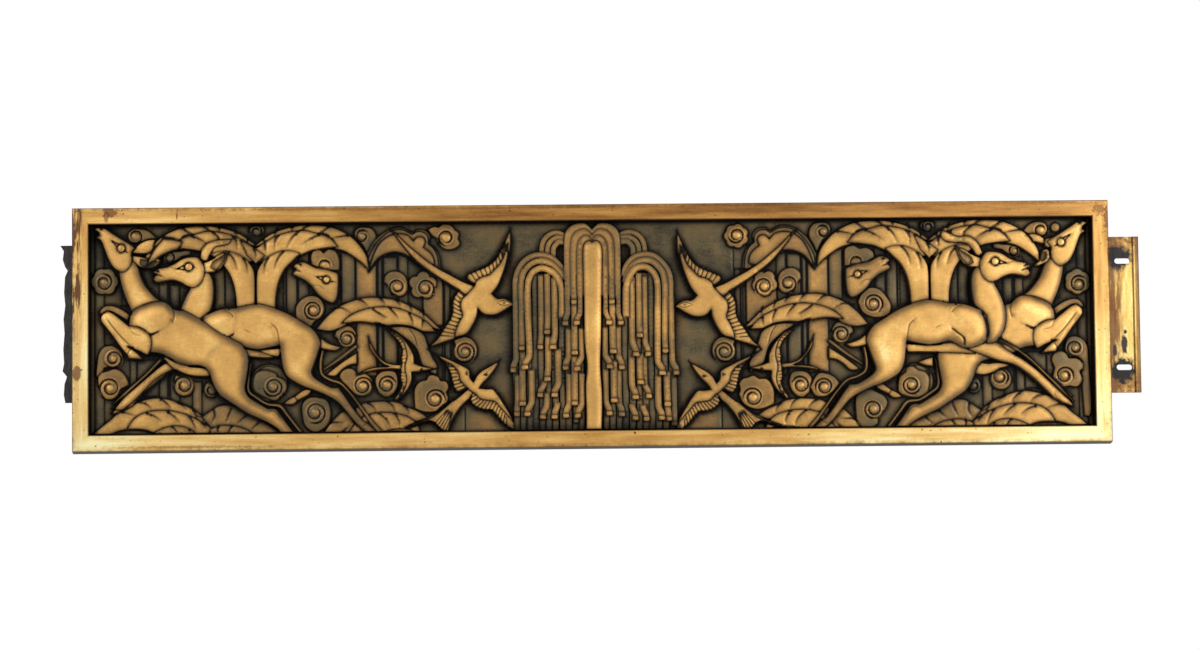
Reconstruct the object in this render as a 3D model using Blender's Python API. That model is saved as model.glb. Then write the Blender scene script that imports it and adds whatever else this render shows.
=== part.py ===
"""Cast bronze frieze panel: a relief plate held in a flat raised frame, with a
fixing lug at each end. The front faces -Y, the back lies in the plane y = 0 and
the origin is the middle of the back.
"""

import math

import bmesh
import bpy
import numpy as np
from mathutils import Vector
from mathutils.geometry import delaunay_2d_cdt

# Driving dimensions in metres
OPENING_WIDTH = 1.768
OPENING_HEIGHT = 0.371
FACE_WIDTH = 0.0280
SIDE_DRAFT = 0.0025
EDGE_BREAK = 0.0014
FRAME_DEPTH = 0.040
LIP_WIDTH = 0.008
PLATE_THICKNESS = 0.012
CLEARANCE = 0.0003

LUG_TOP = 0.151
LUG_BOTTOM = -0.126
LUG_THICKNESS = 0.008
LUG_TONGUE = 0.012
LUG_REACH = 0.0555
LUG_LIP_WIDTH = 0.009
LUG_LIP_RISE = 0.003
SLOT_LENGTH = 0.0285
SLOT_WIDTH = 0.010
SLOT_INSET = 0.0268
SLOT_HEIGHTS = (0.108, -0.081)
STUB_REACH = 0.0215

# Rise of each layer of the relief above the plate's ground, and how it swells
RAY_RISE = 0.0015
CLOUD_RISE = 0.0050
CLOUD_DISH = 0.0035
FROND_RISE = 0.0075
WATER_RISE = 0.0095
BIRD_RISE = 0.0105
FAR_BEAST_RISE = 0.0085
MID_BEAST_RISE = 0.0110
NEAR_BEAST_RISE = 0.0140
SOFT_SWELL = 0.0020
FULL_SWELL = 0.0050

# The relief is drawn on a grid of squares: x from the middle of the panel, z
# from its mid-height. The opening is this many squares wide and high.
DRAWN_WIDTH = 1004.6
DRAWN_HEIGHT = 210.8
SQUARE_X = OPENING_WIDTH / DRAWN_WIDTH
SQUARE_Z = OPENING_HEIGHT / DRAWN_HEIGHT
WALL = 1.3
ROUNDING = 6.0
MARGIN = 1.0
CURVE_STEP = 2.0
CURVE_TOLERANCE = 1.1
SNAP = 0.2
HALVINGS = 7


# Clear the scene
for leftover in list(bpy.data.objects):
    bpy.data.objects.remove(leftover, do_unlink=True)


def bronze(name, colour, roughness, metallic):
    material = bpy.data.materials.new(name)
    material.use_nodes = True
    shader = material.node_tree.nodes["Principled BSDF"]
    shader.inputs["Base Color"].default_value = (*colour, 1.0)
    shader.inputs["Roughness"].default_value = roughness
    shader.inputs["Metallic"].default_value = metallic
    return material


def add_object(name, mesh, material):
    node = bpy.data.objects.new(name, mesh)
    mesh.materials.append(material)
    bpy.context.scene.collection.objects.link(node)
    return node


def add_cutter(name, mesh, target):
    cutter = bpy.data.objects.new(name, mesh)
    bpy.context.scene.collection.objects.link(cutter)
    cutter.hide_render = True
    cutter.display_type = "WIRE"
    cut = target.modifiers.new(name, "BOOLEAN")
    cut.operation = "DIFFERENCE"
    cut.solver = "EXACT"
    cut.object = cutter


def slab(name, outline, front, back):
    """A flat plate with an (x, z) outline, from y = front to y = back."""
    bm = bmesh.new()
    rim = [bm.verts.new((x, front, z)) for x, z in outline]
    face = bm.faces.new(rim)
    made = bmesh.ops.extrude_face_region(bm, geom=[face])
    lifted = [item for item in made["geom"] if isinstance(item, bmesh.types.BMVert)]
    bmesh.ops.translate(bm, verts=lifted, vec=(0.0, back - front, 0.0))
    bmesh.ops.recalc_face_normals(bm, faces=bm.faces)
    mesh = bpy.data.meshes.new(name)
    bm.to_mesh(mesh)
    bm.free()
    return mesh


def box_outline(left, right, bottom, top):
    return [(left, bottom), (right, bottom), (right, top), (left, top)]


# Curves of the drawing, in squares
def through(points):
    """Points a step apart on a smooth curve through the given ones."""
    knots = np.array(points, float)
    knots = np.vstack([2 * knots[0] - knots[1], knots, 2 * knots[-1] - knots[-2]])
    made = [knots[1]]
    for a, b, c, d in zip(knots, knots[1:], knots[2:], knots[3:]):
        t1 = math.sqrt(math.dist(a, b)) + 1e-6
        t2 = t1 + math.sqrt(math.dist(b, c)) + 1e-6
        t3 = t2 + math.sqrt(math.dist(c, d)) + 1e-6
        count = max(1, math.ceil(math.dist(b, c) / CURVE_STEP))
        for t in np.linspace(t1, t2, count + 1)[1:]:
            ab = (a * (t1 - t) + b * t) / t1
            bc = (b * (t2 - t) + c * (t - t1)) / (t2 - t1)
            cd = (c * (t3 - t) + d * (t - t2)) / (t3 - t2)
            abc = (ab * (t2 - t) + bc * t) / t2
            bcd = (bc * (t3 - t) + cd * (t - t1)) / (t3 - t1)
            made.append((abc * (t2 - t) + bcd * (t - t1)) / (t2 - t1))
    return made


def shape(*runs):
    """A closed outline of smooth runs that meet at corners."""
    outline = []
    end = None
    for run in runs:
        joined = list(run) if end is None else [end, *run]
        outline += through(joined)[0 if end is None else 1:]
        end = joined[-1]
    return np.array(outline)


def stroke(*stations):
    """A ribbon along a smooth line; a station is (x, z, width there)."""
    line = np.array(through(stations))
    along = np.gradient(line[:, :2], axis=0)
    along /= np.linalg.norm(along, axis=1)[:, None]
    across = np.column_stack([-along[:, 1], along[:, 0]]) * line[:, 2:3] / 2
    return np.vstack([line[:, :2] + across, (line[:, :2] - across)[::-1]])


def scalloped(x, z, radius, lobes=0, turn=0.0, depth=0.14):
    """A disc, or a cloud whose edge is a row of lobes."""
    angles = np.radians(np.arange(0, 360, 9))
    reach = np.full(len(angles), float(radius))
    if lobes:
        reach *= 1 - depth + depth * np.abs(np.sin((angles - math.radians(turn)) * lobes / 2))
    return np.column_stack([x + reach * np.cos(angles), z + reach * np.sin(angles)])


def thin(points, tolerance):
    """Drop the points that a closed outline doesn't need."""
    def keep(first, last):
        if last - first < 2:
            return []
        a, b = points[first], points[last % len(points)]
        middle = points[first + 1:last]
        chord = b - a
        length = np.hypot(*chord)
        if length < 1e-9:
            away = np.hypot(*(middle - a).T)
        else:
            rest = middle - a
            away = np.abs(chord[0] * rest[:, 1] - chord[1] * rest[:, 0]) / length
        worst = int(np.argmax(away))
        if away[worst] < tolerance:
            return []
        split = first + 1 + worst
        return keep(first, split) + [split] + keep(split, last)

    half = int(np.argmax(np.hypot(*(points - points[0]).T)))
    chosen = [0] + keep(0, half) + [half] + keep(half, len(points))
    return points[chosen]


def depth_inside(outline, places):
    """How far each place lies inside the outline; outside is negative."""
    depth = np.full(len(places), -1e9)
    near = np.all((places > outline.min(0)) & (places < outline.max(0)), axis=1)
    if near.any():
        depth[near] = depth_near(outline, places[near])
    return depth


def depth_near(outline, places):
    nearest = np.full(len(places), 1e9)
    inside = np.zeros(len(places), bool)
    for a, b in zip(outline, np.roll(outline, -1, axis=0)):
        edge = b - a
        share = np.clip(((places - a) @ edge) / max(edge @ edge, 1e-12), 0, 1)
        nearest = np.minimum(nearest, np.hypot(*(places - a - share[:, None] * edge).T))
        crosses = (a[1] > places[:, 1]) != (b[1] > places[:, 1])
        slope = (b[0] - a[0]) / (b[1] - a[1]) if b[1] != a[1] else 0.0
        inside ^= crosses & (places[:, 0] < a[0] + slope * (places[:, 1] - a[1]))
    return np.where(inside, nearest, -nearest)


# The relief's motifs, from the back layer to the front one
MOTIFS = []


def motif(outline, rise, swell=0.0, rounding=ROUNDING, dish=0.0):
    """Lay one motif over what is there: a wall, then a swelling or a dish."""
    after = np.roll(outline, -1, axis=0)
    if np.sum(outline[:, 0] * after[:, 1] - outline[:, 1] * after[:, 0]) < 0:
        outline = outline[::-1]
    MOTIFS.append((outline, rise, swell, rounding, dish))


def height_at(places):
    """Height of the relief above the plate's ground, in metres."""
    height = np.zeros(len(places))
    for outline, rise, swell, rounding, dish in MOTIFS:
        depth = depth_inside(outline, places)
        near = depth > 0
        if not near.any():
            continue
        depth = depth[near]
        cover = np.clip(depth / WALL, 0, 1)
        bulge = np.sqrt(1 - (1 - np.clip(depth / rounding, 0, 1)) ** 2)
        surface = rise + swell * bulge
        if dish:
            surface = rise - dish + dish * np.clip((depth - WALL) / (rounding - WALL), 0, 1)
        height[near] = height[near] * (1 - cover) + surface * cover
    edge_x = DRAWN_WIDTH / 2 - np.abs(places[:, 0])
    edge_z = DRAWN_HEIGHT / 2 - np.abs(places[:, 1])
    return height * np.clip((np.minimum(edge_x, edge_z) - MARGIN) / WALL, 0, 1)


def sides(draw, shift=(0.0, 0.0)):
    """Draw a figure on the left, and mirrored with a small shift on the right."""
    draw(lambda x, z, *rest: (x, z, *rest))
    draw(lambda x, z, *rest: (shift[0] - x, shift[1] + z, *rest))


def at(place, *points):
    return [place(*point) for point in points]


# Rays: upright flat bands of the ground
for left, right, bottom, top in (
        (-494, -488, -100, 30), (-470, -456, 30, 70), (-432, -425, -70, 60), (-422, -413, -70, 45),
        (-377, -369, 10, 60), (-310, -297, 5, 75), (-281, -254, -50, 76), (-250, -238, 25, 70),
        (-236, -217, -48, 71), (-213, -197, -50, 70), (-192, -184, -50, 60), (-150, -144, -50, 50)):
    motif(np.array(box_outline(left, right, bottom, top), float), RAY_RISE)
    motif(np.array(box_outline(-right, -left, bottom, top), float), RAY_RISE)

# Clouds: left centre, the right one's shift, radius, lobes and the eye's radius
CLOUDS = (
    ((-488, 48), (2, -10), 13, 0, 6), ((-456, 92), (-4, 0), 12, 3, 6),
    ((-478, -28), (6, 2), 13, 0, 6), ((-482, -56), (-7, 2), 17, 5, 6),
    ((-408, -56), (0, 0), 11, 0, 6), ((-382, -61), (0, -3), 8, 0, 4),
    ((-321, -57), (0, -4), 19, 5, 6), ((-279, -84), (1, -2), 19, 5, 6),
    ((-248, -9), (2, 0), 12, 0, 5), ((-231, -58), (0, -5), 14, 5, 6),
    ((-205, -57), (1, -4), 12, 0, 6), ((-161, -68), (1, -2), 19, 7, 7),
    ((-129, -24), (2, -2), 13, 0, 6), ((-281, 20), (0, 1), 15, 0, 6),
    ((-268, 67), (0, -1), 15, 4, 5), ((-228, 93), (2, 1), 12, 0, 6),
    ((-336, 99), (2, -1), 8, 0, 3), ((-195, 41), (1, 0), 12, 0, 6),
    ((-171, 40), (2, 0), 17, 4, 6), ((-147, 90), (-1, 0), 13, 6, 7),
)
for (cloud_x, cloud_z), (shift_x, shift_z), radius, lobes, eye in CLOUDS:
    for x, z in ((cloud_x, cloud_z), (shift_x - cloud_x, shift_z + cloud_z)):
        motif(scalloped(x, z, radius, lobes, turn=90), CLOUD_RISE, SOFT_SWELL)
        motif(scalloped(x, z - 1, eye), CLOUD_RISE, rounding=eye * 0.8, dish=CLOUD_DISH)


# Crest: a lobed leaf under the top edge, with a parallel band behind it
def crest(place):
    motif(shape(at(place, (-153, 57), (-154, 72), (-158, 79), (-165, 84)),
                at(place, (-164, 92), (-168, 97), (-175, 97.5), (-180, 94)),
                at(place, (-190, 99), (-200, 99), (-212, 92), (-220, 83), (-227, 68), (-225, 57)),
                at(place, (-200, 66), (-180, 57))), CLOUD_RISE)
    motif(shape(at(place, (-159, 60), (-160, 70), (-164, 76), (-170, 80)),
                at(place, (-170, 88), (-174, 91), (-180, 88)),
                at(place, (-186, 92), (-193, 94), (-201, 92), (-213, 81), (-224, 57)),
                at(place, (-212, 71), (-200, 75), (-188, 71), (-180, 58))),
          CLOUD_RISE + SOFT_SWELL, SOFT_SWELL)


sides(crest)


# Palms: each half has an outer band, a middle band and the trunk's own leaf
def palm_half(middle, side):
    def place(out, z):
        return middle + side * out, z

    motif(shape(at(place, (-4, 80), (8, 92), (18, 98), (33, 103), (48, 105), (63, 104),
                   (76, 102), (88, 97), (98, 90), (107, 80), (113, 66), (114, 57)),
                at(place, (107, 64), (98, 71), (88, 77), (76, 80), (50, 84), (20, 84), (-4, 80))),
          FROND_RISE, SOFT_SWELL)
    motif(shape(at(place, (-4, 78), (5, 84), (13, 89), (23, 93), (38, 96), (48, 97), (58, 95.5),
                   (68, 93), (76, 88), (83, 81)),
                at(place, (68, 80), (56, 78), (46, 74), (20, 66), (-4, 70))),
          FROND_RISE + SOFT_SWELL, SOFT_SWELL)
    motif(shape(at(place, (0.6, 22), (0.6, 52), (2, 60), (8, 69), (18, 75), (28, 77.5), (38, 76),
                   (44, 73)),
                at(place, (37.5, 68), (29.5, 60), (23.5, 48), (21, 34), (20.5, 22))),
          FROND_RISE + 2 * SOFT_SWELL, SOFT_SWELL)


for palm_middle in (-336, 338.5):
    for palm_side in (-1, 1):
        palm_half(palm_middle, palm_side)


# Arched fronds over the small bird, and the row of fronds along the foot
def arched_fronds(place):
    motif(shape(at(place, (-152, -4), (-160, 6), (-170, 15), (-182, 22), (-196, 28), (-211, 30.5),
                   (-226, 31), (-240, 28), (-252, 23), (-262, 16), (-270, 8), (-277, -2)),
                at(place, (-240, 8), (-220, 16), (-190, 14), (-165, 0), (-152, -4))),
          FROND_RISE, SOFT_SWELL)
    motif(shape(at(place, (-156, -5), (-168, 8), (-180, 15), (-194, 19), (-208, 20), (-222, 19),
                   (-234, 14), (-247, 5)),
                at(place, (-258, 2), (-268, -4)),
                at(place, (-246, 4), (-232, 5), (-218, 3), (-208, 0), (-196, 1), (-184, 0),
                   (-172, -5), (-156, -5))),
          FROND_RISE + SOFT_SWELL, SOFT_SWELL)
    motif(shape(at(place, (-202, 2), (-185, 0), (-172, -3), (-166, -14), (-162, -26), (-156, -42)),
                at(place, (-170, -36), (-184, -10), (-202, 2))), FROND_RISE, SOFT_SWELL)


def foot_fronds(place):
    for rise, near, top, far in (
            (0, (-391, -88), (-440, -69), (-495, -106)), (1, (-391, -93), (-430, -80), (-480, -106)),
            (2, (-396, -106), (-415, -95), (-439, -106)), (0, (-391, -86), (-365, -76), (-330, -88)),
            (1, (-388, -99), (-366, -95), (-344, -106)), (0, (-246, -83), (-258, -88), (-270, -106)),
            (0, (-166, -90), (-205, -73), (-244, -88)), (1, (-180, -95), (-206, -84), (-232, -95))):
        foot = DRAWN_HEIGHT / 2
        arc = [near, ((near[0] + top[0]) / 2, near[1] + (top[1] - near[1]) * 0.78), top,
               ((far[0] + top[0]) / 2, far[1] + (top[1] - far[1]) * 0.72), far]
        motif(shape(at(place, *arc), at(place, (far[0], -foot - 4)), at(place, (near[0], -foot - 4)),
                    at(place, near)), FROND_RISE - 2 * SOFT_SWELL + rise * SOFT_SWELL, SOFT_SWELL)


sides(arched_fronds)
sides(foot_fronds)


# Far antelope: only its head and a bent leg show
def far_antelope(place):
    motif(stroke(*at(place, (-268, -43, 6), (-250, -34, 11), (-236, -28, 12))),
          FAR_BEAST_RISE, SOFT_SWELL)
    motif(shape(at(place, (-254, 55), (-265, 59.5), (-279, 62.5), (-289, 67), (-296, 64),
                   (-299, 56), (-290, 50), (-281, 43), (-274, 33), (-265, 27), (-256, 29),
                   (-253, 40)), at(place, (-254, 55))), FAR_BEAST_RISE, FULL_SWELL)


sides(far_antelope)


def level_antelope(place, rise):
    """The antelope that looks straight ahead, with one long curved horn."""
    motif(stroke(*at(place, (-268, -24, 4), (-274, -42, 5), (-255, -53, 4), (-233, -77, 4),
                     (-212, -104, 4))), rise - SOFT_SWELL, SOFT_SWELL)
    motif(shape(at(place, (-271, -9), (-262, -15), (-251, -20)),
                at(place, (-262, -24), (-271, -20))), rise - SOFT_SWELL, SOFT_SWELL)
    motif(stroke(*at(place, (-392, 71, 9), (-386, 80, 8), (-376, 86, 7), (-362, 87, 5),
                     (-351, 87, 3))), rise - SOFT_SWELL, SOFT_SWELL)
    motif(shape(at(place, (-402, -17), (-408, -20), (-425, -29), (-441, -42), (-460, -63),
                   (-474, -76), (-481, -84)),
                at(place, (-470, -79), (-456, -74), (-438, -56), (-420, -44), (-400, -37),
                   (-370, -25), (-380, -10))), rise - SOFT_SWELL, SOFT_SWELL)
    motif(stroke(*at(place, (-388, 64, 28), (-393, 44, 24), (-396, 24, 29), (-396, 0, 32),
                     (-400, -18, 12))), rise, FULL_SWELL)
    motif(shape(at(place, (-393, 8), (-382, 16), (-368, 20), (-350, 22.5), (-332, 23.5),
                   (-312, 18), (-294, 9), (-280, 0), (-271, -11), (-272, -22), (-278, -35),
                   (-280, -45), (-270, -53), (-256, -59)),
                at(place, (-248, -68), (-236, -86), (-222, -104)),
                at(place, (-232, -106), (-244, -88), (-254, -76), (-266, -68), (-286, -60),
                   (-302, -52), (-310, -42), (-313, -26), (-315, -17)),
                at(place, (-330, -21), (-350, -24), (-370, -24), (-390, -20), (-394, -8),
                   (-393, 8))), rise, FULL_SWELL, 2 * ROUNDING)
    motif(shape(at(place, (-391, 66), (-380, 71), (-366, 77)),
                at(place, (-371, 66), (-380, 59), (-391, 57))), rise, SOFT_SWELL)
    motif(shape(at(place, (-391, 68), (-398, 71.5), (-412, 69.5), (-424, 63), (-437, 57),
                   (-438, 50), (-428, 48), (-414, 45), (-403, 42), (-394, 45), (-390, 55),
                   (-391, 68))), rise + SOFT_SWELL, SOFT_SWELL)


def rearing_antelope(place, rise):
    """The antelope that looks up, with one foreleg folded and one reaching down."""
    motif(stroke(*at(place, (-340, -34, 4), (-341, -60, 5), (-330, -72, 5), (-312, -77, 4),
                     (-300, -92, 4), (-288, -106, 4))), rise - SOFT_SWELL, SOFT_SWELL)
    motif(shape(at(place, (-349, -20), (-335, -26), (-318, -29)),
                at(place, (-334, -30), (-347, -29))), rise - SOFT_SWELL, SOFT_SWELL)
    motif(stroke(*at(place, (-462, 12, 4), (-476, 20, 5), (-487, 20, 4), (-491, 14, 3))),
          rise - SOFT_SWELL, SOFT_SWELL)
    motif(stroke(*at(place, (-424, -36, 12), (-444, -49, 11), (-461, -66, 8), (-477, -79, 3))),
          rise, SOFT_SWELL)
    motif(stroke(*at(place, (-458, 80, 7), (-447, 83, 9), (-437, 84, 8))), rise, SOFT_SWELL)
    motif(shape(at(place, (-458, 74), (-449, 73), (-441, 69), (-432, 68)),
                at(place, (-440, 61), (-450, 61), (-459, 66))), rise, SOFT_SWELL)
    motif(stroke(*at(place, (-462, 66, 20), (-460, 50, 24), (-453, 32, 33), (-442, 10, 44))),
          rise, FULL_SWELL)
    motif(shape(at(place, (-462, 14), (-450, 23), (-436, 27), (-424, 26.5), (-410, 19.5),
                   (-396, 12), (-380, 1), (-365, -8), (-350, -17), (-343.5, -31), (-345, -48),
                   (-346, -62)),
                at(place, (-335, -73), (-317, -81), (-306, -95), (-296, -106)),
                at(place, (-309, -106), (-322, -96), (-342, -86), (-362, -75), (-376, -61),
                   (-383, -45)),
                at(place, (-392, -39), (-410, -35), (-426, -27), (-441, -22), (-452, -22),
                   (-460, -14), (-463, 0), (-462, 14))), rise, FULL_SWELL, 2 * ROUNDING)
    motif(shape(at(place, (-458, 3), (-471, 11), (-484, 19)),
                at(place, (-491, 12), (-488, 4), (-478, -9), (-465, -24)),
                at(place, (-461, -29), (-448, -31)), at(place, (-456, -20), (-449, -12),
                                                        (-446, -4), (-458, 3))),
          rise + SOFT_SWELL, SOFT_SWELL)
    motif(shape(at(place, (-455, 81), (-468, 90), (-480, 98), (-490, 102), (-497, 99)),
                at(place, (-491, 89), (-485, 76), (-478, 62), (-470, 56.5), (-463, 60),
                   (-458, 70), (-455, 81))), rise + SOFT_SWELL, SOFT_SWELL)


def on_left(x, z, *rest):
    return (x, z, *rest)


def on_right(x, z, *rest):
    return (1.5 - x, z - 1.5, *rest)


level_antelope(on_left, MID_BEAST_RISE)
rearing_antelope(on_left, NEAR_BEAST_RISE)
rearing_antelope(on_right, MID_BEAST_RISE)
level_antelope(on_right, NEAR_BEAST_RISE)


# Birds: each wing has a row of feathers behind a smooth arm
def great_swallow(place):
    motif(shape(at(place, (-84, 100), (-86, 90), (-92, 78), (-100, 66), (-112, 58), (-124, 53),
                   (-128, 48), (-119, 42)),
                at(place, (-132, 38), (-139, 30), (-141, 14), (-148, 2), (-157, -12), (-164, -20)),
                at(place, (-148, -15), (-134, -9), (-122, -2), (-115, 9), (-112, 14)),
                at(place, (-98, 12), (-86, 15), (-79, 20)),
                at(place, (-84, 26), (-92, 28.5), (-100, 31)),
                at(place, (-94, 42), (-88, 56), (-85, 72), (-83, 90), (-84, 100))),
          BIRD_RISE, SOFT_SWELL)
    motif(stroke(*at(place, (-118, 37, 9), (-140, 44, 11), (-160, 56, 9), (-178, 71, 6),
                     (-190, 83, 3), (-203, 98, 1.4))), BIRD_RISE + SOFT_SWELL, SOFT_SWELL)
    motif(shape(at(place, (-91, 64), (-97, 58), (-104, 51), (-114, 47), (-120, 38)),
                at(place, (-127, 30), (-132, 20), (-131, 8), (-138, -8)),
                at(place, (-127, -4), (-118, 6), (-115, 18)),
                at(place, (-98, 17), (-88, 19), (-90, 25), (-98, 30)),
                at(place, (-94, 40), (-90, 52), (-91, 64))), BIRD_RISE + SOFT_SWELL, SOFT_SWELL)


def small_swallow(place):
    motif(stroke(*at(place, (-190, -39, 5), (-207, -37, 4), (-217, -26, 4), (-225, -10, 1.4))),
          BIRD_RISE, SOFT_SWELL)
    motif(stroke(*at(place, (-190, -41, 5), (-210, -40, 3), (-225, -42, 3), (-237, -47, 1.4))),
          BIRD_RISE, SOFT_SWELL)
    motif(shape(at(place, (-156, -42), (-166, -39.5), (-179, -37)),
                at(place, (-178, -28), (-183, -18), (-192, -8), (-213, 3)),
                at(place, (-199, -10), (-192, -20), (-191, -38)),
                at(place, (-192, -50), (-190, -57), (-199, -73)),
                at(place, (-188, -67), (-182, -56), (-179, -46)),
                at(place, (-167, -45), (-156, -42))), BIRD_RISE, SOFT_SWELL)


def beaked_bird(place):
    motif(shape(at(place, (-186, -99), (-165, -93), (-146, -80), (-130, -66), (-122, -59)),
                at(place, (-118, -68), (-128, -76), (-140, -92), (-147, -107)),
                at(place, (-155, -100), (-168, -96), (-186, -99))), BIRD_RISE, SOFT_SWELL)
    motif(shape(at(place, (-163, -24), (-150, -31), (-137, -37), (-124, -43)),
                at(place, (-124, -52), (-128, -61)),
                at(place, (-136, -65), (-141, -57), (-144, -46), (-152, -36), (-163, -24))),
          BIRD_RISE, SOFT_SWELL)
    motif(shape(at(place, (-110, -62), (-100, -63), (-90, -77), (-82, -92), (-76, -107)),
                at(place, (-86, -99), (-97, -90), (-108, -83), (-121, -79), (-123, -68)),
                at(place, (-110, -62))), BIRD_RISE, SOFT_SWELL)
    motif(shape(at(place, (-93, -33), (-107, -42), (-117, -47), (-125, -60), (-133, -70)),
                at(place, (-120, -68), (-110, -57), (-103, -47), (-93, -33))),
          BIRD_RISE + SOFT_SWELL, SOFT_SWELL)


sides(great_swallow, (3.5, -3.5))
sides(small_swallow, (-3.5, -2))
sides(beaked_bird, (3.5, -3.5))


# Fountain: ropes of water that rise at the middle and fall in nested arches
def falling_rope(outer, crown_x, crown_z, butt, width):
    """One rope: up its outer side, over the crown and in to the middle."""
    foot = -DRAWN_HEIGHT / 2
    for side in (-1, 1):
        spring = crown_z - 1.05 * (outer - crown_x)
        motif(stroke((side * outer, foot, width), (side * outer, spring - 8, width),
                     (side * outer, spring, width),
                     (side * (crown_x + 0.72 * (outer - crown_x)), crown_z - 5.5, width),
                     (side * crown_x, crown_z, width),
                     (side * (butt + 0.25 * (crown_x - butt)), crown_z - 5.5, width),
                     (side * butt, crown_z - 19, width)), WATER_RISE, SOFT_SWELL, width / 2)


ROPE = 5.2
for inner_rope in (34, 41, 48, 54):
    for rope_side in (-1, 1):
        motif(stroke((rope_side * (inner_rope + 1), 52, ROPE), (rope_side * inner_rope, 20, ROPE),
                     (rope_side * (inner_rope - 2), -30, ROPE),
                     (rope_side * (inner_rope + 2), -60, ROPE),
                     (rope_side * inner_rope, -DRAWN_HEIGHT / 2, ROPE)),
              WATER_RISE - SOFT_SWELL, SOFT_SWELL, ROPE / 2)
for crown in (93, 88, 83):
    spread = (96 - crown) * 0.75
    falling_rope(50 - spread, 37, crown, 27, ROPE)
for crown in (71, 65, 59):
    spread = 71 - crown
    falling_rope(77 - spread, 51, crown, 30, ROPE)
for reach, crown, lobe in ((28, 103.5, 11), (21.5, 97.5, 10), (15.5, 91, 7)):
    notch = crown - 7
    motif(shape([(-reach, -DRAWN_HEIGHT / 2), (-reach, 60), (-reach, notch - 6), (-lobe, crown),
                 (0, notch)], [(lobe, crown), (reach, notch - 6), (reach, 60),
                               (reach, -DRAWN_HEIGHT / 2)]), WATER_RISE, SOFT_SWELL, ROPE / 2)
motif(shape([(-9, -DRAWN_HEIGHT / 2), (-9, 50), (-8, 80), (-4, 85.5), (0, 83)],
            [(4, 85.5), (8, 80), (9, 50), (9, -DRAWN_HEIGHT / 2)]),
      WATER_RISE + SOFT_SWELL, FULL_SWELL, 9)


# The plate and its relief are one casting
def relief_mesh():
    plate_x = (OPENING_WIDTH / 2 + LIP_WIDTH - CLEARANCE) / SQUARE_X
    plate_z = (OPENING_HEIGHT / 2 + LIP_WIDTH - CLEARANCE) / SQUARE_Z
    places = [Vector(corner) for corner in box_outline(-plate_x, plate_x, -plate_z, plate_z)]
    edges = [(0, 1), (1, 2), (2, 3), (3, 0)]

    lowest = np.array([outline.min(0) for outline, *_ in MOTIFS])
    highest = np.array([outline.max(0) for outline, *_ in MOTIFS])

    def covered(spots, layer):
        """Which spots lie under a motif above this layer."""
        hidden = np.zeros(len(spots), bool)
        if len(spots):
            meets = np.all((lowest < spots.max(0)) & (highest > spots.min(0)), axis=1)
            meets[:layer + 1] = False
            for above in np.nonzero(meets)[0]:
                hidden |= depth_inside(MOTIFS[above][0], spots) > 0
        return hidden

    def add_place(place):
        places.append(Vector(place))
        return len(places) - 1

    def add_ring(ring, layer):
        """Add the part of a closed ring that no motif above the layer covers."""
        hidden = covered(ring, layer)
        after = np.roll(np.arange(len(ring)), -1)
        turns = np.nonzero(hidden != hidden[after])[0]
        shown = ring[np.where(hidden[turns], after[turns], turns)]
        lost = ring[np.where(hidden[turns], turns, after[turns])]
        for _ in range(HALVINGS):
            middle = (shown + lost) / 2
            gone = covered(middle, layer)[:, None]
            shown, lost = np.where(gone, shown, middle), np.where(gone, middle, lost)
        ends = {edge: add_place(place) for edge, place in zip(turns, shown)}
        number = {index: add_place(ring[index]) for index in np.nonzero(~hidden)[0]}
        for index, following in enumerate(after):
            if index in ends:
                edges.append((ends[index], number[following if hidden[index] else index]))
            elif not hidden[index]:
                edges.append((number[index], number[following]))

    for inset in (MARGIN, MARGIN + WALL):
        half_x = DRAWN_WIDTH / 2 - inset
        half_z = DRAWN_HEIGHT / 2 - inset
        add_ring(np.array(box_outline(-half_x, half_x, -half_z, half_z)), len(MOTIFS))
    limit = np.array((half_x - 0.5, half_z - 0.5))
    for layer, (outline, rise, swell, rounding, dish) in enumerate(MOTIFS):
        along = np.roll(outline, -1, axis=0) - np.roll(outline, 1, axis=0)
        inward = np.column_stack([-along[:, 1], along[:, 0]]) / np.linalg.norm(along, axis=1)[:, None]
        insets = [0.0, WALL]
        if rounding > ROUNDING:
            insets.append(0.6 * rounding)
        for inset in insets:
            ring = outline + inset * inward
            if inset:
                ring = ring[depth_inside(outline, ring) > 0.9 * inset]
            if len(ring) > 2:
                add_ring(thin(np.clip(ring, -limit, limit), CURVE_TOLERANCE), layer)
        middle = outline.mean(0)[None]
        if dish and not covered(middle, layer)[0]:
            add_place(middle[0])

    flat, _, faces, _, _, _ = delaunay_2d_cdt(places, edges, [], 0, SNAP)
    flat = np.array([tuple(place) for place in flat])
    height = height_at(flat)
    bm = bmesh.new()
    verts = [bm.verts.new((x * SQUARE_X, -(PLATE_THICKNESS + rise), z * SQUARE_Z))
             for (x, z), rise in zip(flat, height)]
    for face in faces:
        bm.faces.new([verts[index] for index in face])
    rim = [edge for edge in bm.edges if edge.is_boundary]
    made = bmesh.ops.extrude_edge_only(bm, edges=rim)
    back = [item for item in made["geom"] if isinstance(item, bmesh.types.BMVert)]
    for vert in back:
        vert.co.y = 0.0
    bmesh.ops.contextual_create(bm, geom=[edge for edge in bm.edges if edge.is_boundary])
    bmesh.ops.recalc_face_normals(bm, faces=bm.faces)
    mesh = bpy.data.meshes.new("relief_panel")
    bm.to_mesh(mesh)
    bm.free()
    return mesh


gilt = bronze("gilt_bronze", (0.62, 0.42, 0.19), 0.42, 0.8)
worn_gilt = bronze("worn_gilt_bronze", (0.72, 0.52, 0.25), 0.38, 0.8)
golden_brown = bronze("golden_brown_bronze", (0.45, 0.29, 0.12), 0.5, 0.7)
black_bronze = bronze("black_bronze", (0.03, 0.028, 0.027), 0.6, 0.5)

add_object("relief_panel", relief_mesh(), gilt)

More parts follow.
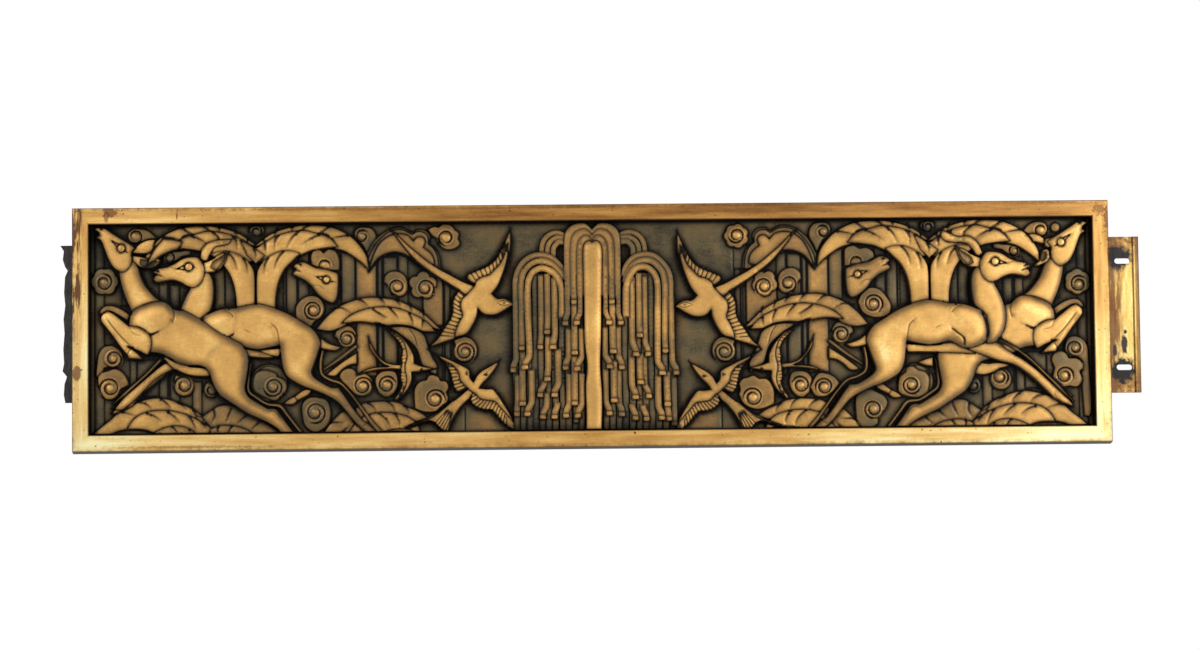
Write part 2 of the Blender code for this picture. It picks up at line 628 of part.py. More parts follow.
# Frame: one casting of an L-shaped section, whose lip laps over the plate's edge.
# Each station is (distance out from the opening's edge, y).
LIP_BACK = -(PLATE_THICKNESS + CLEARANCE)
SECTION = (
    (0.0, LIP_BACK), (0.0, EDGE_BREAK - FRAME_DEPTH), (EDGE_BREAK, -FRAME_DEPTH),
    (FACE_WIDTH - EDGE_BREAK, -FRAME_DEPTH), (FACE_WIDTH, EDGE_BREAK - FRAME_DEPTH),
    (FACE_WIDTH + SIDE_DRAFT, 0.0), (LIP_WIDTH, 0.0), (LIP_WIDTH, LIP_BACK),
)
FRAME_X = OPENING_WIDTH / 2 + FACE_WIDTH + SIDE_DRAFT
frame_bm = bmesh.new()
corners = []
for sign_x, sign_z in ((-1, -1), (1, -1), (1, 1), (-1, 1)):
    corners.append([frame_bm.verts.new((sign_x * (OPENING_WIDTH / 2 + out), y,
                                        sign_z * (OPENING_HEIGHT / 2 + out)))
                    for out, y in SECTION])
for here, there in zip(corners, corners[1:] + corners[:1]):
    for first in range(len(SECTION)):
        second = (first + 1) % len(SECTION)
        frame_bm.faces.new([here[first], there[first], there[second], here[second]])
bmesh.ops.recalc_face_normals(frame_bm, faces=frame_bm.faces)
frame_mesh = bpy.data.meshes.new("frame")
frame_bm.to_mesh(frame_mesh)
frame_bm.free()
frame = add_object("frame", frame_mesh, worn_gilt)

# Notches in the frame's back, where the lugs are let in
PAST = 0.01
for notch_name, notch_side in (("left_notch", -1), ("right_notch", 1)):
    ends = sorted((notch_side * (FRAME_X - LUG_TONGUE - CLEARANCE), notch_side * (FRAME_X + PAST)))
    add_cutter(notch_name, slab(notch_name, box_outline(ends[0], ends[1], LUG_BOTTOM - CLEARANCE,
                                                        LUG_TOP + CLEARANCE),
                                -(LUG_THICKNESS + CLEARANCE), PAST), frame)

# Right lug: a plate with a raised strip along its outer edge and two slots
LUG_X = FRAME_X + LUG_REACH
lug_bm = bmesh.new()
lug_section = (
    (FRAME_X - LUG_TONGUE, 0.0), (FRAME_X - LUG_TONGUE, -LUG_THICKNESS),
    (LUG_X - LUG_LIP_WIDTH - LUG_LIP_RISE, -LUG_THICKNESS),
    (LUG_X - LUG_LIP_WIDTH, -LUG_THICKNESS - LUG_LIP_RISE),
    (LUG_X - EDGE_BREAK, -LUG_THICKNESS - LUG_LIP_RISE),
    (LUG_X, -LUG_THICKNESS - LUG_LIP_RISE + EDGE_BREAK), (LUG_X, 0.0),
)
rows = [[lug_bm.verts.new((x, y, z)) for x, y in lug_section] for z in (LUG_BOTTOM, LUG_TOP)]
for first in range(len(lug_section)):
    second = (first + 1) % len(lug_section)
    lug_bm.faces.new([rows[0][first], rows[0][second], rows[1][second], rows[1][first]])
for row in rows:
    lug_bm.faces.new(row)
bmesh.ops.recalc_face_normals(lug_bm, faces=lug_bm.faces)
lug_mesh = bpy.data.meshes.new("lug_right")
lug_bm.to_mesh(lug_mesh)
lug_bm.free()
lug_right = add_object("lug_right", lug_mesh, golden_brown)

SLOT_X = FRAME_X + SLOT_INSET
for slot_number, slot_z in enumerate(SLOT_HEIGHTS):
    slot_name = "slot_" + str(slot_number + 1)
    radius = SLOT_WIDTH / 2
    reach = SLOT_LENGTH / 2 - radius
    slot_outline = []
    for side in (1, -1):
        for degrees in range(-90, 91, 30):
            angle = math.radians(degrees)
            slot_outline.append((SLOT_X + side * (reach + radius * math.cos(angle)),
                                 slot_z + side * radius * math.sin(angle)))
    add_cutter(slot_name, slab(slot_name, slot_outline, -(LUG_THICKNESS + PAST), PAST), lug_right)

# Left lug: the stub that is left of it, broken off along a ragged edge.
# Each station is (share of the lug's height from its top, share of the reach).
BREAK = (
    (0.0, 1.0), (0.035, 0.72), (0.09, 0.80), (0.135, 0.62), (0.16, 0.40), (0.20, 0.62),
    (0.30, 0.70), (0.38, 0.60), (0.47, 0.74), (0.56, 0.66), (0.66, 0.76), (0.75, 0.70),
    (0.80, 0.82), (0.835, 0.46), (0.88, 0.66), (0.95, 0.72), (1.0, 0.60),
)
stub_outline = [(-(FRAME_X - LUG_TONGUE), LUG_TOP), (-(FRAME_X - LUG_TONGUE), LUG_BOTTOM)]
for down, out in reversed(BREAK):
    stub_outline.append((-(FRAME_X + out * STUB_REACH), LUG_TOP + down * (LUG_BOTTOM - LUG_TOP)))
add_object("lug_left", slab("lug_left", stub_outline, -LUG_THICKNESS, 0.0), black_bronze)
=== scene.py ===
import math

import bpy
import numpy as np
from mathutils import Matrix, Vector
from mathutils.geometry import delaunay_2d_cdt
from mathutils.kdtree import KDTree


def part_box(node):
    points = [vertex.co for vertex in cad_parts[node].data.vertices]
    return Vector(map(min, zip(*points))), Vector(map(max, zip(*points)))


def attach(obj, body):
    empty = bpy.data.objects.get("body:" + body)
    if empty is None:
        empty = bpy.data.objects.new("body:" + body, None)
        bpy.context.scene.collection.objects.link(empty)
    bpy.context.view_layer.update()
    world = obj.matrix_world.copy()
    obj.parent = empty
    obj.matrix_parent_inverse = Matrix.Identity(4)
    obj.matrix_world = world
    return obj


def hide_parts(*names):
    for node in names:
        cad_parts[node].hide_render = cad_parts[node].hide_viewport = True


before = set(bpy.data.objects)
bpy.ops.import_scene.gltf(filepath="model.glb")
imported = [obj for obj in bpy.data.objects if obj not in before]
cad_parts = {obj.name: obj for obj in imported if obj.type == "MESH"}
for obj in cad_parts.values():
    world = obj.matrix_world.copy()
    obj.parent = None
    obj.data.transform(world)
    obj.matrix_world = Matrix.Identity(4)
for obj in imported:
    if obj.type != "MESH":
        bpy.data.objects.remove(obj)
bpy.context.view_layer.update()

# The relief panel: one bronze casting, a plate with figures up to 19 mm proud.
# It is gilded and rubbed bright on the figures, and dark in the ground, and it
# lies in the frame's rebate. It is drawn in squares of 1.76 mm from its middle.
SQUARE = 0.00176
STEP = 2.2
WALL = 1.2
GROOVE = 1.2


def through(points):
    """Points a step apart on a smooth line through the given ones."""
    knots = np.array(points, float)
    knots = np.vstack([2 * knots[0] - knots[1], knots, 2 * knots[-1] - knots[-2]])
    made = [knots[1]]
    for a, b, c, d in zip(knots, knots[1:], knots[2:], knots[3:]):
        t1 = math.sqrt(math.dist(a, b)) + 1e-6
        t2 = t1 + math.sqrt(math.dist(b, c)) + 1e-6
        t3 = t2 + math.sqrt(math.dist(c, d)) + 1e-6
        count = max(1, round(math.dist(b[:2], c[:2]) / STEP))
        for t in np.linspace(t1, t2, count + 1)[1:]:
            ab = (a * (t1 - t) + b * t) / t1
            bc = (b * (t2 - t) + c * (t - t1)) / (t2 - t1)
            cd = (c * (t3 - t) + d * (t - t2)) / (t3 - t2)
            abc = (ab * (t2 - t) + bc * t) / t2
            bcd = (bc * (t3 - t) + cd * (t - t1)) / (t3 - t1)
            made.append((abc * (t2 - t) + bcd * (t - t1)) / (t2 - t1))
    return np.array(made)


def left(points):
    """Keeps points as drawn, which for most motifs is on the left half."""
    return np.array(points, float)


def right_by(dx=0.0, dz=0.0):
    """Mirrors points to the right half, with a small shift."""
    def put(points):
        points = np.array(points, float)
        points[:, 0] = dx - points[:, 0]
        points[:, 1] += dz
        return points
    return put


def shape(put, *runs):
    """A closed outline of smooth runs that meet at corners."""
    outline = []
    end = None
    for run in runs:
        joined = put(run) if end is None else np.vstack([end, put(run)])
        outline.append(through(joined)[0 if end is None else 1:])
        end = joined[-1:]
    return np.vstack(outline)


motifs = []


def lay(outline, rise, swell=0.0, rounding=6.0, gilt=(0.3, 0.3), fade=5.0, line=1.0, halo=2.0,
        wall=WALL, spine=None):
    """Lays a motif over what is there, or without a rise makes it swell there.

    The gilding goes from its edge to its middle over fade squares, rubbed wear with
    painted shading; line and halo are how dark and how wide the dirt and painted
    shade lie against its wall.
    """
    outline = outline[np.hypot(*(np.roll(outline, -1, axis=0) - outline).T) > 0.3]
    after = np.roll(outline, -1, axis=0)
    if np.sum(outline[:, 0] * after[:, 1] - outline[:, 1] * after[:, 0]) < 0:
        outline = outline[::-1]
    motifs.append(dict(solid=True, path=outline, rise=rise, swell=swell, rounding=rounding,
                       gilt=gilt, fade=fade, line=line, halo=halo, wall=wall, spine=spine))


def cut(put, points, width=2.2, depth=0.0012, dark=0.9, tone=None, shade=0.0, wedge=False):
    """Cuts a groove dark with dirt and painted shade, or with a tone raises a rubbed ridge.

    It tapers at both ends, or as a wedge towards its last point. A shade is on
    its under side, as far out as SHADE_REACH.
    """
    motifs.append(dict(solid=False, path=through(put(points)), width=width * GROOVE, depth=depth,
                       dark=dark, tone=tone, shade=shade, wedge=wedge))


# Rays of the ground: upright flat bands, low in the casting, and on each side
# the foot of a pillar. A row is the band's two sides, its ends and its shine.
RAY = 0.0015


def rays(put):
    for x0, x1, z0, z1, shine in (
            (-497, -488, -104, 104, 0.12), (-470, -463, 25, 72, 0.18), (-462, -455, -104, -30, 0.2),
            (-455, -433, -66, -30, 0.18), (-433, -425, -75, 66, 0.2), (-422, -413, -75, 45, 0.15),
            (-400, -391, -86, -52, 0.32), (-378, -368, 5, 66, 0.2), (-367, -356, 5, 60, 0.12),
            (-309, -307, 0, 70, 0.1), (-306, -296, 0, 78, 0.2), (-294, -284, 0, 78, 0.16),
            (-251, -238, 25, 76, 0.28), (-236.5, -216.5, -48, 73, 0.47), (-214.5, -211, -50, 71, 0.18),
            (-209, -196, -50, 71, 0.2), (-194, -185, -50, 73, 0.16), (-150.5, -149, -60, 56, 0.18),
            (-148, -143, -60, 56, 0.2)):
        corners = [(x0, z0), (x1, z0), (x1, z1), (x0, z1)]
        lay(shape(put, corners[:2], corners[2:3], corners[3:], corners[:1]), RAY,
            gilt=(shine * 0.7, shine * 1.1), line=1.0, halo=2.4)
    cut(put, [(-128.5, -80), (-128.5, -105)], 2.0, 0.0010, 1.0)


rays(left)
rays(right_by())
for put in (left, right_by()):
    lay(shape(put, [(-127, -106), (-127, -84)], [(-112, -84), (-100, -92), (-90, -106)],
              [(-127, -106)]), 0.0002, gilt=(0.3, 0.4), fade=7, line=0.0, halo=0.1, wall=5.0)


# Clouds: rolled scrolls, cast low and left dull. A row is the outline, the eye
# (place, its size, the spiral's reach, start, turns and way) and the shine; a
# row for both sides opens with how far the right one is off the mirrored place.
# A cloud stands CLOUD out of the ground, and like most motifs it swells by SOFT.
CLOUD = 0.0050
SOFT = 0.0020


def disc(x, z, radius):
    """A round outline with its points a step apart."""
    around = 2 * math.pi
    angles = np.linspace(0, around, max(9, int(around * radius / STEP)), endpoint=False)
    return np.column_stack([x + radius * np.cos(angles), z + radius * np.sin(angles)])


def spiral(x, z, inner, outer, start, turns, way):
    """A spiral from its inner to its outer radius; start is in degrees."""
    sweep = np.linspace(0, 1, 18)
    angle = math.radians(start) + way * 2 * math.pi * turns * sweep
    radius = inner + (outer - inner) * sweep
    return np.column_stack([x + radius * np.cos(angle), z + radius * np.sin(angle)])


def volute(put, x, z, eye, reach, start, turns, way, gilt):
    """The rolled end of a cloud: a bright eye in a spiral groove with a rubbed ridge."""
    middle = put([(x, z)])[0]
    turns *= 1.1
    lay(disc(*middle, reach + 0.8), CLOUD + SOFT * 0.6, SOFT * 0.4, 3.0,
        gilt=(gilt, gilt * 0.62), fade=3.5, line=0.3, halo=0.6)
    ridge = spiral(x, z, eye * 0.8 + 2.2, reach + 1.2, start, turns, way)
    cut(put, ridge, 2.2, -0.0005, 0.0, gilt * 0.98)
    groove = spiral(x, z, eye * 0.85, reach + 0.6, start + way * 20, turns, way)
    cut(put, groove, 2.3, 0.0020, 1.0)
    lay(disc(*middle, eye * 0.85), CLOUD + SOFT, SOFT, eye, gilt=(gilt, gilt * 1.45),
        fade=eye * 0.6, line=0.25, halo=0.5, wall=0.8)


def lobed(x, z, radius, lobes, bite, turn=0.0):
    """A round outline with lobes, which the gaps between them bite into."""
    angles = np.linspace(0, 2 * math.pi, int(2 * math.pi * radius / 1.8), endpoint=False)
    reach = radius - bite * (1 - np.abs(np.sin((angles - math.radians(turn)) * lobes / 2)) ** 0.8)
    return np.column_stack([x + reach * np.cos(angles), z + reach * np.sin(angles)])


def cloud(put, runs, eye, shine, rise=CLOUD):
    lay(shape(put, *runs) if isinstance(runs, tuple) else put(runs), rise, SOFT, 4.5,
        gilt=(shine * 1.2, shine * 0.8), fade=6, halo=3)
    if eye:
        volute(put, *eye, gilt=shine * 1.3)


BOTH_SIDES = (
    (2, 0, ([(-428, 71), (-424, 68), (-416, 69), (-410, 73), (-402, 75), (-402, 80), (-412, 79), (-420, 79),
             (-428, 71)],), (-423, 72, 3, 5, 90, 0.8, 1), 0.22),
    (0, -3, ([(-389, -60), (-387, -54), (-381, -52), (-376, -56), (-375, -62), (-379, -67.5), (-385, -67),
              (-389, -60)],), (-381.5, -60.5, 3.5, 6, 90, 0.9, 1), 0.16),
    (3, 0, ([(-259, -8), (-256, -1), (-249, 2.5), (-242, 2), (-237.5, -3), (-237, -11), (-240, -17),
             (-246, -18.5), (-251, -17), (-253, -13), (-259, -8)],),
     (-246, -10.5, 4, 8, 120, 1.2, -1), 0.3),
    (1, -4, ([(-215, -65), (-218, -57), (-218, -50), (-213, -44), (-205, -42.5), (-198, -44), (-195, -51),
              (-196, -60), (-201, -67), (-208, -69.5), (-215, -65)],),
     (-206.5, -57, 4.5, 8.5, 150, 1.2, -1), 0.36),
    (3, -2, ([(-140, -12), (-130, -9), (-121, -12), (-116, -20), (-117, -29), (-123, -34), (-131, -34),
              (-136, -30), (-137, -22), (-140, -12)],), (-128.5, -24.5, 4, 10.5, 180, 1.7, -1), 0.3),
    (2, 1, ([(-224, 71), (-228, 80), (-232, 86), (-237, 91), (-238, 97), (-235, 101), (-227, 102),
             (-220, 100), (-216, 93), (-217, 84), (-224, 71)],), (-230, 92, 4, 6, 60, 0.9, -1), 0.28),
    (2, -1, ([(-343, 98), (-342, 103), (-329, 103), (-328, 98), (-335, 92), (-343, 98)],),
     (-336, 98, 3, 5, 0, 1.0, 1), 0.13),
    (1, 0, ([(-209, 46), (-208, 52), (-203, 56.5), (-195, 57), (-188, 53), (-185, 46), (-185.5, 37),
             (-190, 32), (-198, 32), (-203, 36), (-205, 42), (-209, 46)],),
     (-195.5, 41, 4.5, 8, 180, 1.1, 1), 0.36),
)
for dx, dz, runs, eye, shine in BOTH_SIDES:
    cloud(left, runs, eye, shine)
    cloud(right_by(dx, dz), runs, eye, shine)

# The clouds behind the far beasts' heads, and the panels by the pillars
cloud(left, ([(-253, 58), (-253, 70), (-257, 78), (-264, 80), (-269, 76)],
             [(-273, 80), (-279, 79), (-282, 72), (-281, 64)], [(-270, 58), (-253, 58)]),
      (-267, 63, 5, 7, 0, 0.6, 1), 0.28)
cloud(left, ([(253, 58), (253, 68), (254, 76), (262, 79.5), (269, 76)],
             [(276, 77), (283, 72), (284, 66)], [(270, 58), (253, 58)]), (266, 62, 5, 7, 0, 0.6, 1), 0.28)
for x0, x1, z1 in ((-170, -150, 58), (154, 185, 50)):
    lay(shape(left, [(x0, 2), (x1, 2)], [(x1, z1)], [(x0, z1)], [(x0, 2)]), CLOUD - SOFT,
        gilt=(0.36, 0.3), halo=3)

LEFT_CLOUDS = (
    (lobed(-487, 49, 14.2, 6, 1.7, 30), (-488, 48, 4.5, 8, 0, 1.1, 1), 0.25),
    (([(-434, 91), (-441, 90.5), (-447, 89), (-455, 88), (-461, 91), (-463, 96), (-459, 101), (-451, 102),
       (-443, 99.5), (-434, 91)],), (-456.5, 94, 5, 7, 200, 0.8, -1), 0.27),
    (([(-480, -14.5), (-488, -16), (-493, -22), (-495, -32), (-495, -48), (-489, -45), (-488, -38),
       (-480, -37), (-472, -34), (-469, -28), (-470, -22), (-475, -17), (-480, -14.5)],),
     (-478.5, -28.5, 4, 9, 20, 1.3, -1), 0.3),
    (([(-484, -40), (-477, -38), (-469, -42), (-464, -50), (-463, -55)], [(-472, -60), (-474, -65),
       (-479, -69), (-486, -69), (-490, -65)], [(-491, -60), (-494, -54), (-494, -47), (-490, -42),
       (-484, -40)]), (-482, -57.5, 4.5, 9.5, 60, 1.2, 1), 0.36),
    (([(-417, -44.5), (-418.5, -51), (-418.5, -57), (-416, -63), (-410, -66.5), (-403, -65), (-399.5, -60),
       (-400, -54), (-404, -50), (-410, -49), (-414, -46), (-417, -44.5)],),
     (-408.5, -55.5, 4.5, 9, 100, 1.1, 1), 0.36),
    (([(-278, -68), (-285, -69), (-291, -75), (-291, -88), (-288, -98), (-279, -104), (-269, -100),
       (-263, -91), (-263, -78), (-267, -71), (-278, -68)],), (-278, -84, 5, 10.5, 60, 1.3, -1), 0.26),
    (([(-297, 10), (-297, 22), (-291, 30), (-282, 33.5), (-273, 31), (-268, 21), (-271, 12), (-278, 7),
       (-284, 0), (-297, 10)],), (-279.5, 18.5, 4.5, 9, 40, 1.5, 1), 0.4),
    (disc(-324, -54, 19), None, 0.2),
    (([(-316, -48), (-316, -45), (-320, -43), (-329, -41), (-337, -44), (-340, -52), (-339, -61),
       (-331, -67)], [(-324, -70), (-318, -72), (-314, -70), (-313, -65)], [(-308, -64), (-306, -58),
       (-308, -52), (-312, -49), (-316, -48)]), (-319.5, -58, 4.5, 9.5, 45, 1.4, -1), 0.28),
    (([(-235, -47), (-240, -40.5), (-247, -40), (-252, -43), (-254, -48), (-251, -54)],
      [(-244, -61), (-237, -67), (-229, -68), (-222, -63), (-220, -56), (-223, -49), (-229, -45),
       (-235, -47)]), (-230.5, -58, 4.8, 9, 150, 1.3, -1), 0.38),
    (([(-179, -82), (-179, -61), (-174, -54), (-167, -52)], [(-165, -48), (-160, -47), (-155, -49),
       (-153, -53)], [(-147, -54), (-144.5, -60), (-147, -65)], [(-145, -71), (-147, -76), (-152, -78)],
      [(-157, -84), (-168, -85), (-179, -82)]), (-158.5, -71.5, 5.2, 9.5, 150, 1.25, -1), 0.44),
    (lobed(-170, 42.5, 14.5, 5, 3.4, 50), (-167.5, 39.5, 4.6, 8.6, 60, 1.15, -1), 0.38),
    (([(-165, 99), (-158, 102), (-154, 101)], [(-148, 105), (-140, 102), (-137, 98)],
      [(-133, 95), (-134, 89)], [(-132, 84), (-137, 79), (-147, 78), (-153, 83), (-155, 89)],
      [(-160, 92), (-165, 99)]), (-146, 90, 5.5, 7.5, 250, 0.9, 1), 0.4),
)
RIGHT_CLOUDS = (
    (lobed(488, 40.5, 13.6, 6, 1.7, 0), (489, 38, 4.5, 8, 180, 1.2, -1), 0.34),
    (([(433, 91), (440, 99), (450, 102), (457, 100), (459, 94), (456, 88), (445, 87), (433, 91)],),
     (452, 93, 4.5, 6.5, 0, 0.9, 1), 0.34),
    (disc(467, 95.5, 5), None, 0.36),
    (([(474, -22), (477, -16), (484, -14), (492, -17), (497, -24), (498, -35)],
      [(498, -95), (492, -95)], [(490, -60), (489, -37), (478, -36), (474, -30), (474, -22)]),
     (484, -26.5, 4, 8, 160, 1.2, 1), 0.3),
    (([(463, -46), (460, -38), (463, -31), (470, -29), (475, -31), (478, -36)], [(487, -37), (492, -42),
       (492, -48)], [(489, -50), (491, -56), (490, -62), (485, -66), (478, -65)],
      [(467, -66), (461, -58), (463, -46)]), (473, -54, 4.5, 8.5, 120, 1.2, -1), 0.36),
    (disc(409, -57, 11), (408, -55, 4.5, 8, 80, 1.2, -1), 0.36),
    (([(263, -104), (263, -72), (270, -66), (277, -65)], [(285, -69), (292, -73), (295, -80), (292, -87)],
      [(285, -93), (285, -100), (275, -106), (263, -104)]), (280, -86, 5, 9, 120, 1.3, 1), 0.28),
    (([(266, 22), (270, 31), (278, 36.5), (288, 35), (295, 28), (300, 18), (297, 8), (290, 6), (281, 6),
       (271, 11), (266, 22)],), (281.5, 20, 4.5, 9.5, 200, 1.5, -1), 0.42),
    (disc(323, -58, 18), None, 0.22),
    (([(305, -62), (307, -54), (313, -49)], [(314, -45), (320, -43), (326, -47)], [(333, -49), (337, -55),
       (337, -61)], [(335, -69), (330, -73), (325, -75)], [(315, -74), (306, -70), (305, -62)]),
     (318.5, -62, 4.5, 9, 135, 1.4, 1), 0.34),
    (([(217, -64), (220, -56), (226, -49), (235, -49.5), (243, -54), (247, -60)], [(240, -68), (232, -73),
       (222, -72), (217, -64)]), (231, -63, 4.8, 8.5, 30, 1.3, 1), 0.38),
    (([(145, -70), (146.5, -65), (145, -59)], [(149, -54), (155, -52.5)], [(160, -50.5), (166, -54)],
      [(173, -54), (178, -58), (181, -66), (181, -80)], [(168, -85), (160, -85), (150, -80), (145, -70)]),
     (159.5, -73, 5.2, 9.5, 30, 1.25, 1), 0.44),
    (lobed(173, 42, 13.5, 5, 3.0, 20), (172, 38.5, 4.5, 8.2, 120, 1.15, 1), 0.36),
    (lobed(145, 89.5, 13, 7, 1.8, 0), (145, 90, 5, 7.5, 290, 1.1, -1), 0.38),
)
cut(left, [(142, 77), (142, 54)], 2.2, 0.0010, 1.0)
for rows in (LEFT_CLOUDS, RIGHT_CLOUDS):
    for runs, eye, shine in rows:
        cloud(left, runs, eye, shine, CLOUD if eye else CLOUD - SOFT)
cut(left, disc(-324, -54, 16.8)[8:22], 2.0, 0.0012, 0.9)
cut(left, disc(323, -58, 16)[2:14], 2.0, 0.0012, 0.9)


# Crests: a lobed leaf under the top edge on each side, with two bands round it
def crest(put):
    for out, shine in ((0.0, 0.2), (2.6, 0.3)):
        lay(shape(put, [(-151 - out, 57), (-153 - out, 72), (-157 - out, 80), (-163 - out * 0.5, 84)],
                  [(-162 - out, 92 - out * 0.4), (-167 - out * 0.5, 98 - out), (-175, 99 - out),
                   (-180, 96 - out)],
                  [(-190, 101 - out), (-200, 100.5 - out), (-212 + out * 0.7, 94 - out),
                   (-221 + out, 84 - out), (-227 + out, 68), (-224, 56)],
                  [(-213, 69), (-200, 74), (-188, 72), (-176, 63), (-168, 57)], [(-151 - out, 57)]),
            CLOUD - 0.0006 * (3 - out), gilt=(shine * 1.3, shine), fade=2.5, line=1.0, halo=1.6)
    lay(shape(put, [(-158, 63), (-159, 70), (-163, 76), (-169, 80.5)], [(-167, 87), (-170, 91),
                    (-175, 91), (-179, 87)],
              [(-185, 93), (-193, 94.5), (-201, 93.5), (-211, 87), (-218, 76), (-224, 58)],
              [(-213, 71), (-200, 76), (-188, 74), (-176, 65), (-168, 59)], [(-158, 63)]),
        CLOUD + SOFT, SOFT, gilt=(0.4, 0.46), line=1.0)


crest(left)
crest(right_by(-1, -1))


# Palms: two trees whose crowns part to both sides. Each half has an outer band
# and a middle band of leaves, and the trunk with its own leaf lies over them.
FROND = 0.0075


def cuts(put, lines, width=2.2, depth=0.0012):
    """The gaps between the leaves of a frond, each with a shaded side."""
    for points in lines:
        cut(put, points, width * 1.6, depth, 1.0, shade=0.34, wedge=True)


def palm_half(middle, side, low, high):
    def put(points):
        points = np.array(points, float)
        points[:, 0] = middle + side * points[:, 0]
        return points

    lay(shape(put, [(-3, 82), (8, 91), (18, 97), (33, 102), (48, 104.5), (63, 104), (76, 102), (88, 97),
                    (98, 90), (106, 81), (111, 72), (113, 58)],
              [(107, 64), (98, 71), (88, 77), (76, 80), (50, 84), (20, 84), (-3, 82)]),
        FROND, SOFT, gilt=(low, high), halo=3)
    cuts(put, [[(20.5, 100), (18, 92)], [(37, 104), (35.5, 97)], [(53, 104), (47, 100), (42, 98)],
               [(74, 103), (68, 98), (61, 95)], [(93, 93), (84, 92), (74, 90)],
               [(61, 95), (69, 94.5), (76, 90), (80, 84)], [(8, 90), (9, 86)]], 2.2, 0.0014)
    lay(shape(put, [(-3, 80), (5, 84), (13, 89), (23, 94), (38, 97.5), (50, 98), (60, 95.5),
                    (69, 93), (76, 89), (82, 82)],
              [(68, 80), (56, 78), (46, 74), (20, 66), (-3, 70), (-3, 80)]),
        FROND + SOFT, SOFT, gilt=(low, high), halo=1.6)
    cuts(put, [[(22, 93), (19.5, 88), (18.5, 81)], [(43, 97), (37, 92), (31.5, 83)],
               [(64, 94), (55, 90), (47, 85)], [(9.5, 87), (9.5, 82), (10, 77)]],
         2.4, 0.0014)
    lay(shape(put, [(0.5, 18), (0.5, 52), (2, 60), (8, 68.5), (18, 75), (28, 78), (38, 77.5), (44, 75)],
              [(37.5, 68), (29.5, 60), (23.5, 48), (20.5, 34), (19.5, 18)], [(0.5, 18)]),
        FROND + 2 * SOFT, SOFT, gilt=(low * 1.05, high * 1.08), line=0.9, halo=1.6)
    cuts(put, [[(27.5, 77), (22, 70), (18.5, 60)], [(12.5, 71), (9.5, 65), (8, 56)]], 2.4, 0.0014)


for middle in (-336.5, 338.5):
    for side in (-1, 1):
        palm_half(middle, side, 0.48, 0.66)
    # The leaf that crosses the middle, over both halves
    lay(shape(left, [(middle - 15, 88.5), (middle - 9, 86), (middle - 3, 82), (middle + 9, 73.5)],
              [(middle + 5, 69.5), (middle, 64)], [(middle - 4, 69.5), (middle - 8.5, 74)],
              [(middle - 11, 80), (middle - 15, 88.5)]), FROND + SOFT * 1.4, SOFT * 0.8, gilt=(0.48, 0.64),
        line=0.95, halo=1.6)
    cuts(left, [[(middle - 2, 82), (middle - 0.5, 77), (middle + 0.5, 70)]])


# Fronds: an arch of two over each small bird, and a row along the foot, where
# the far ones are lower and duller
def arched_fronds(put):
    lay(shape(put, [(-151, -3), (-160, 6), (-170, 15), (-182, 22), (-196, 28), (-211, 30.5), (-226, 31),
                    (-240, 28), (-252, 23), (-262, 16), (-270, 8), (-277, -1)],
              [(-262, -3), (-240, 6), (-220, 14), (-190, 12), (-165, 0), (-151, -3)]),
        FROND, SOFT, gilt=(0.42, 0.6), halo=3)
    cuts(put, [[(-262, 19.5), (-252, 20.5), (-240, 14.5)], [(-234, 29), (-229, 26), (-224, 21)],
               [(-213, 31), (-207, 23)], [(-197, 29), (-192, 22)], [(-183, 24), (-181, 16)],
               [(-170, 17), (-168, 9)]], 2.2, 0.0013)
    lay(shape(put, [(-156, -5), (-168, 7), (-180, 13.5), (-194, 19), (-208, 21), (-222, 20), (-236, 16),
                    (-246, 10), (-251, 5)],
              [(-243, 5.5), (-232, 6), (-218, 4), (-208, 2), (-196, 2.5), (-184, 1), (-172, -4),
               (-156, -5)]), FROND + SOFT, SOFT, gilt=(0.46, 0.66), halo=1.6)
    cuts(put, [[(-220, 18.5), (-213, 14), (-206, 10)], [(-203, 19), (-198, 14), (-194, 8)],
               [(-184, 14), (-181, 8), (-180, 1)], [(-170, 7), (-171, -1)],
               [(-217, 5), (-208, 2), (-196, -4)]], 2.2, 0.0013)
    lay(shape(put, [(-204, 1), (-190, 1.5), (-178, -1), (-169, -7), (-165, -18), (-161, -29),
                    (-156, -38), (-157, -48)], [(-170, -40), (-178, -20), (-204, 1)]),
        FROND - SOFT, SOFT, gilt=(0.3, 0.46), halo=2)
    cut(put, [(-184, -1), (-179, -8), (-176, -18)], 2.0, 0.0012, 0.8)


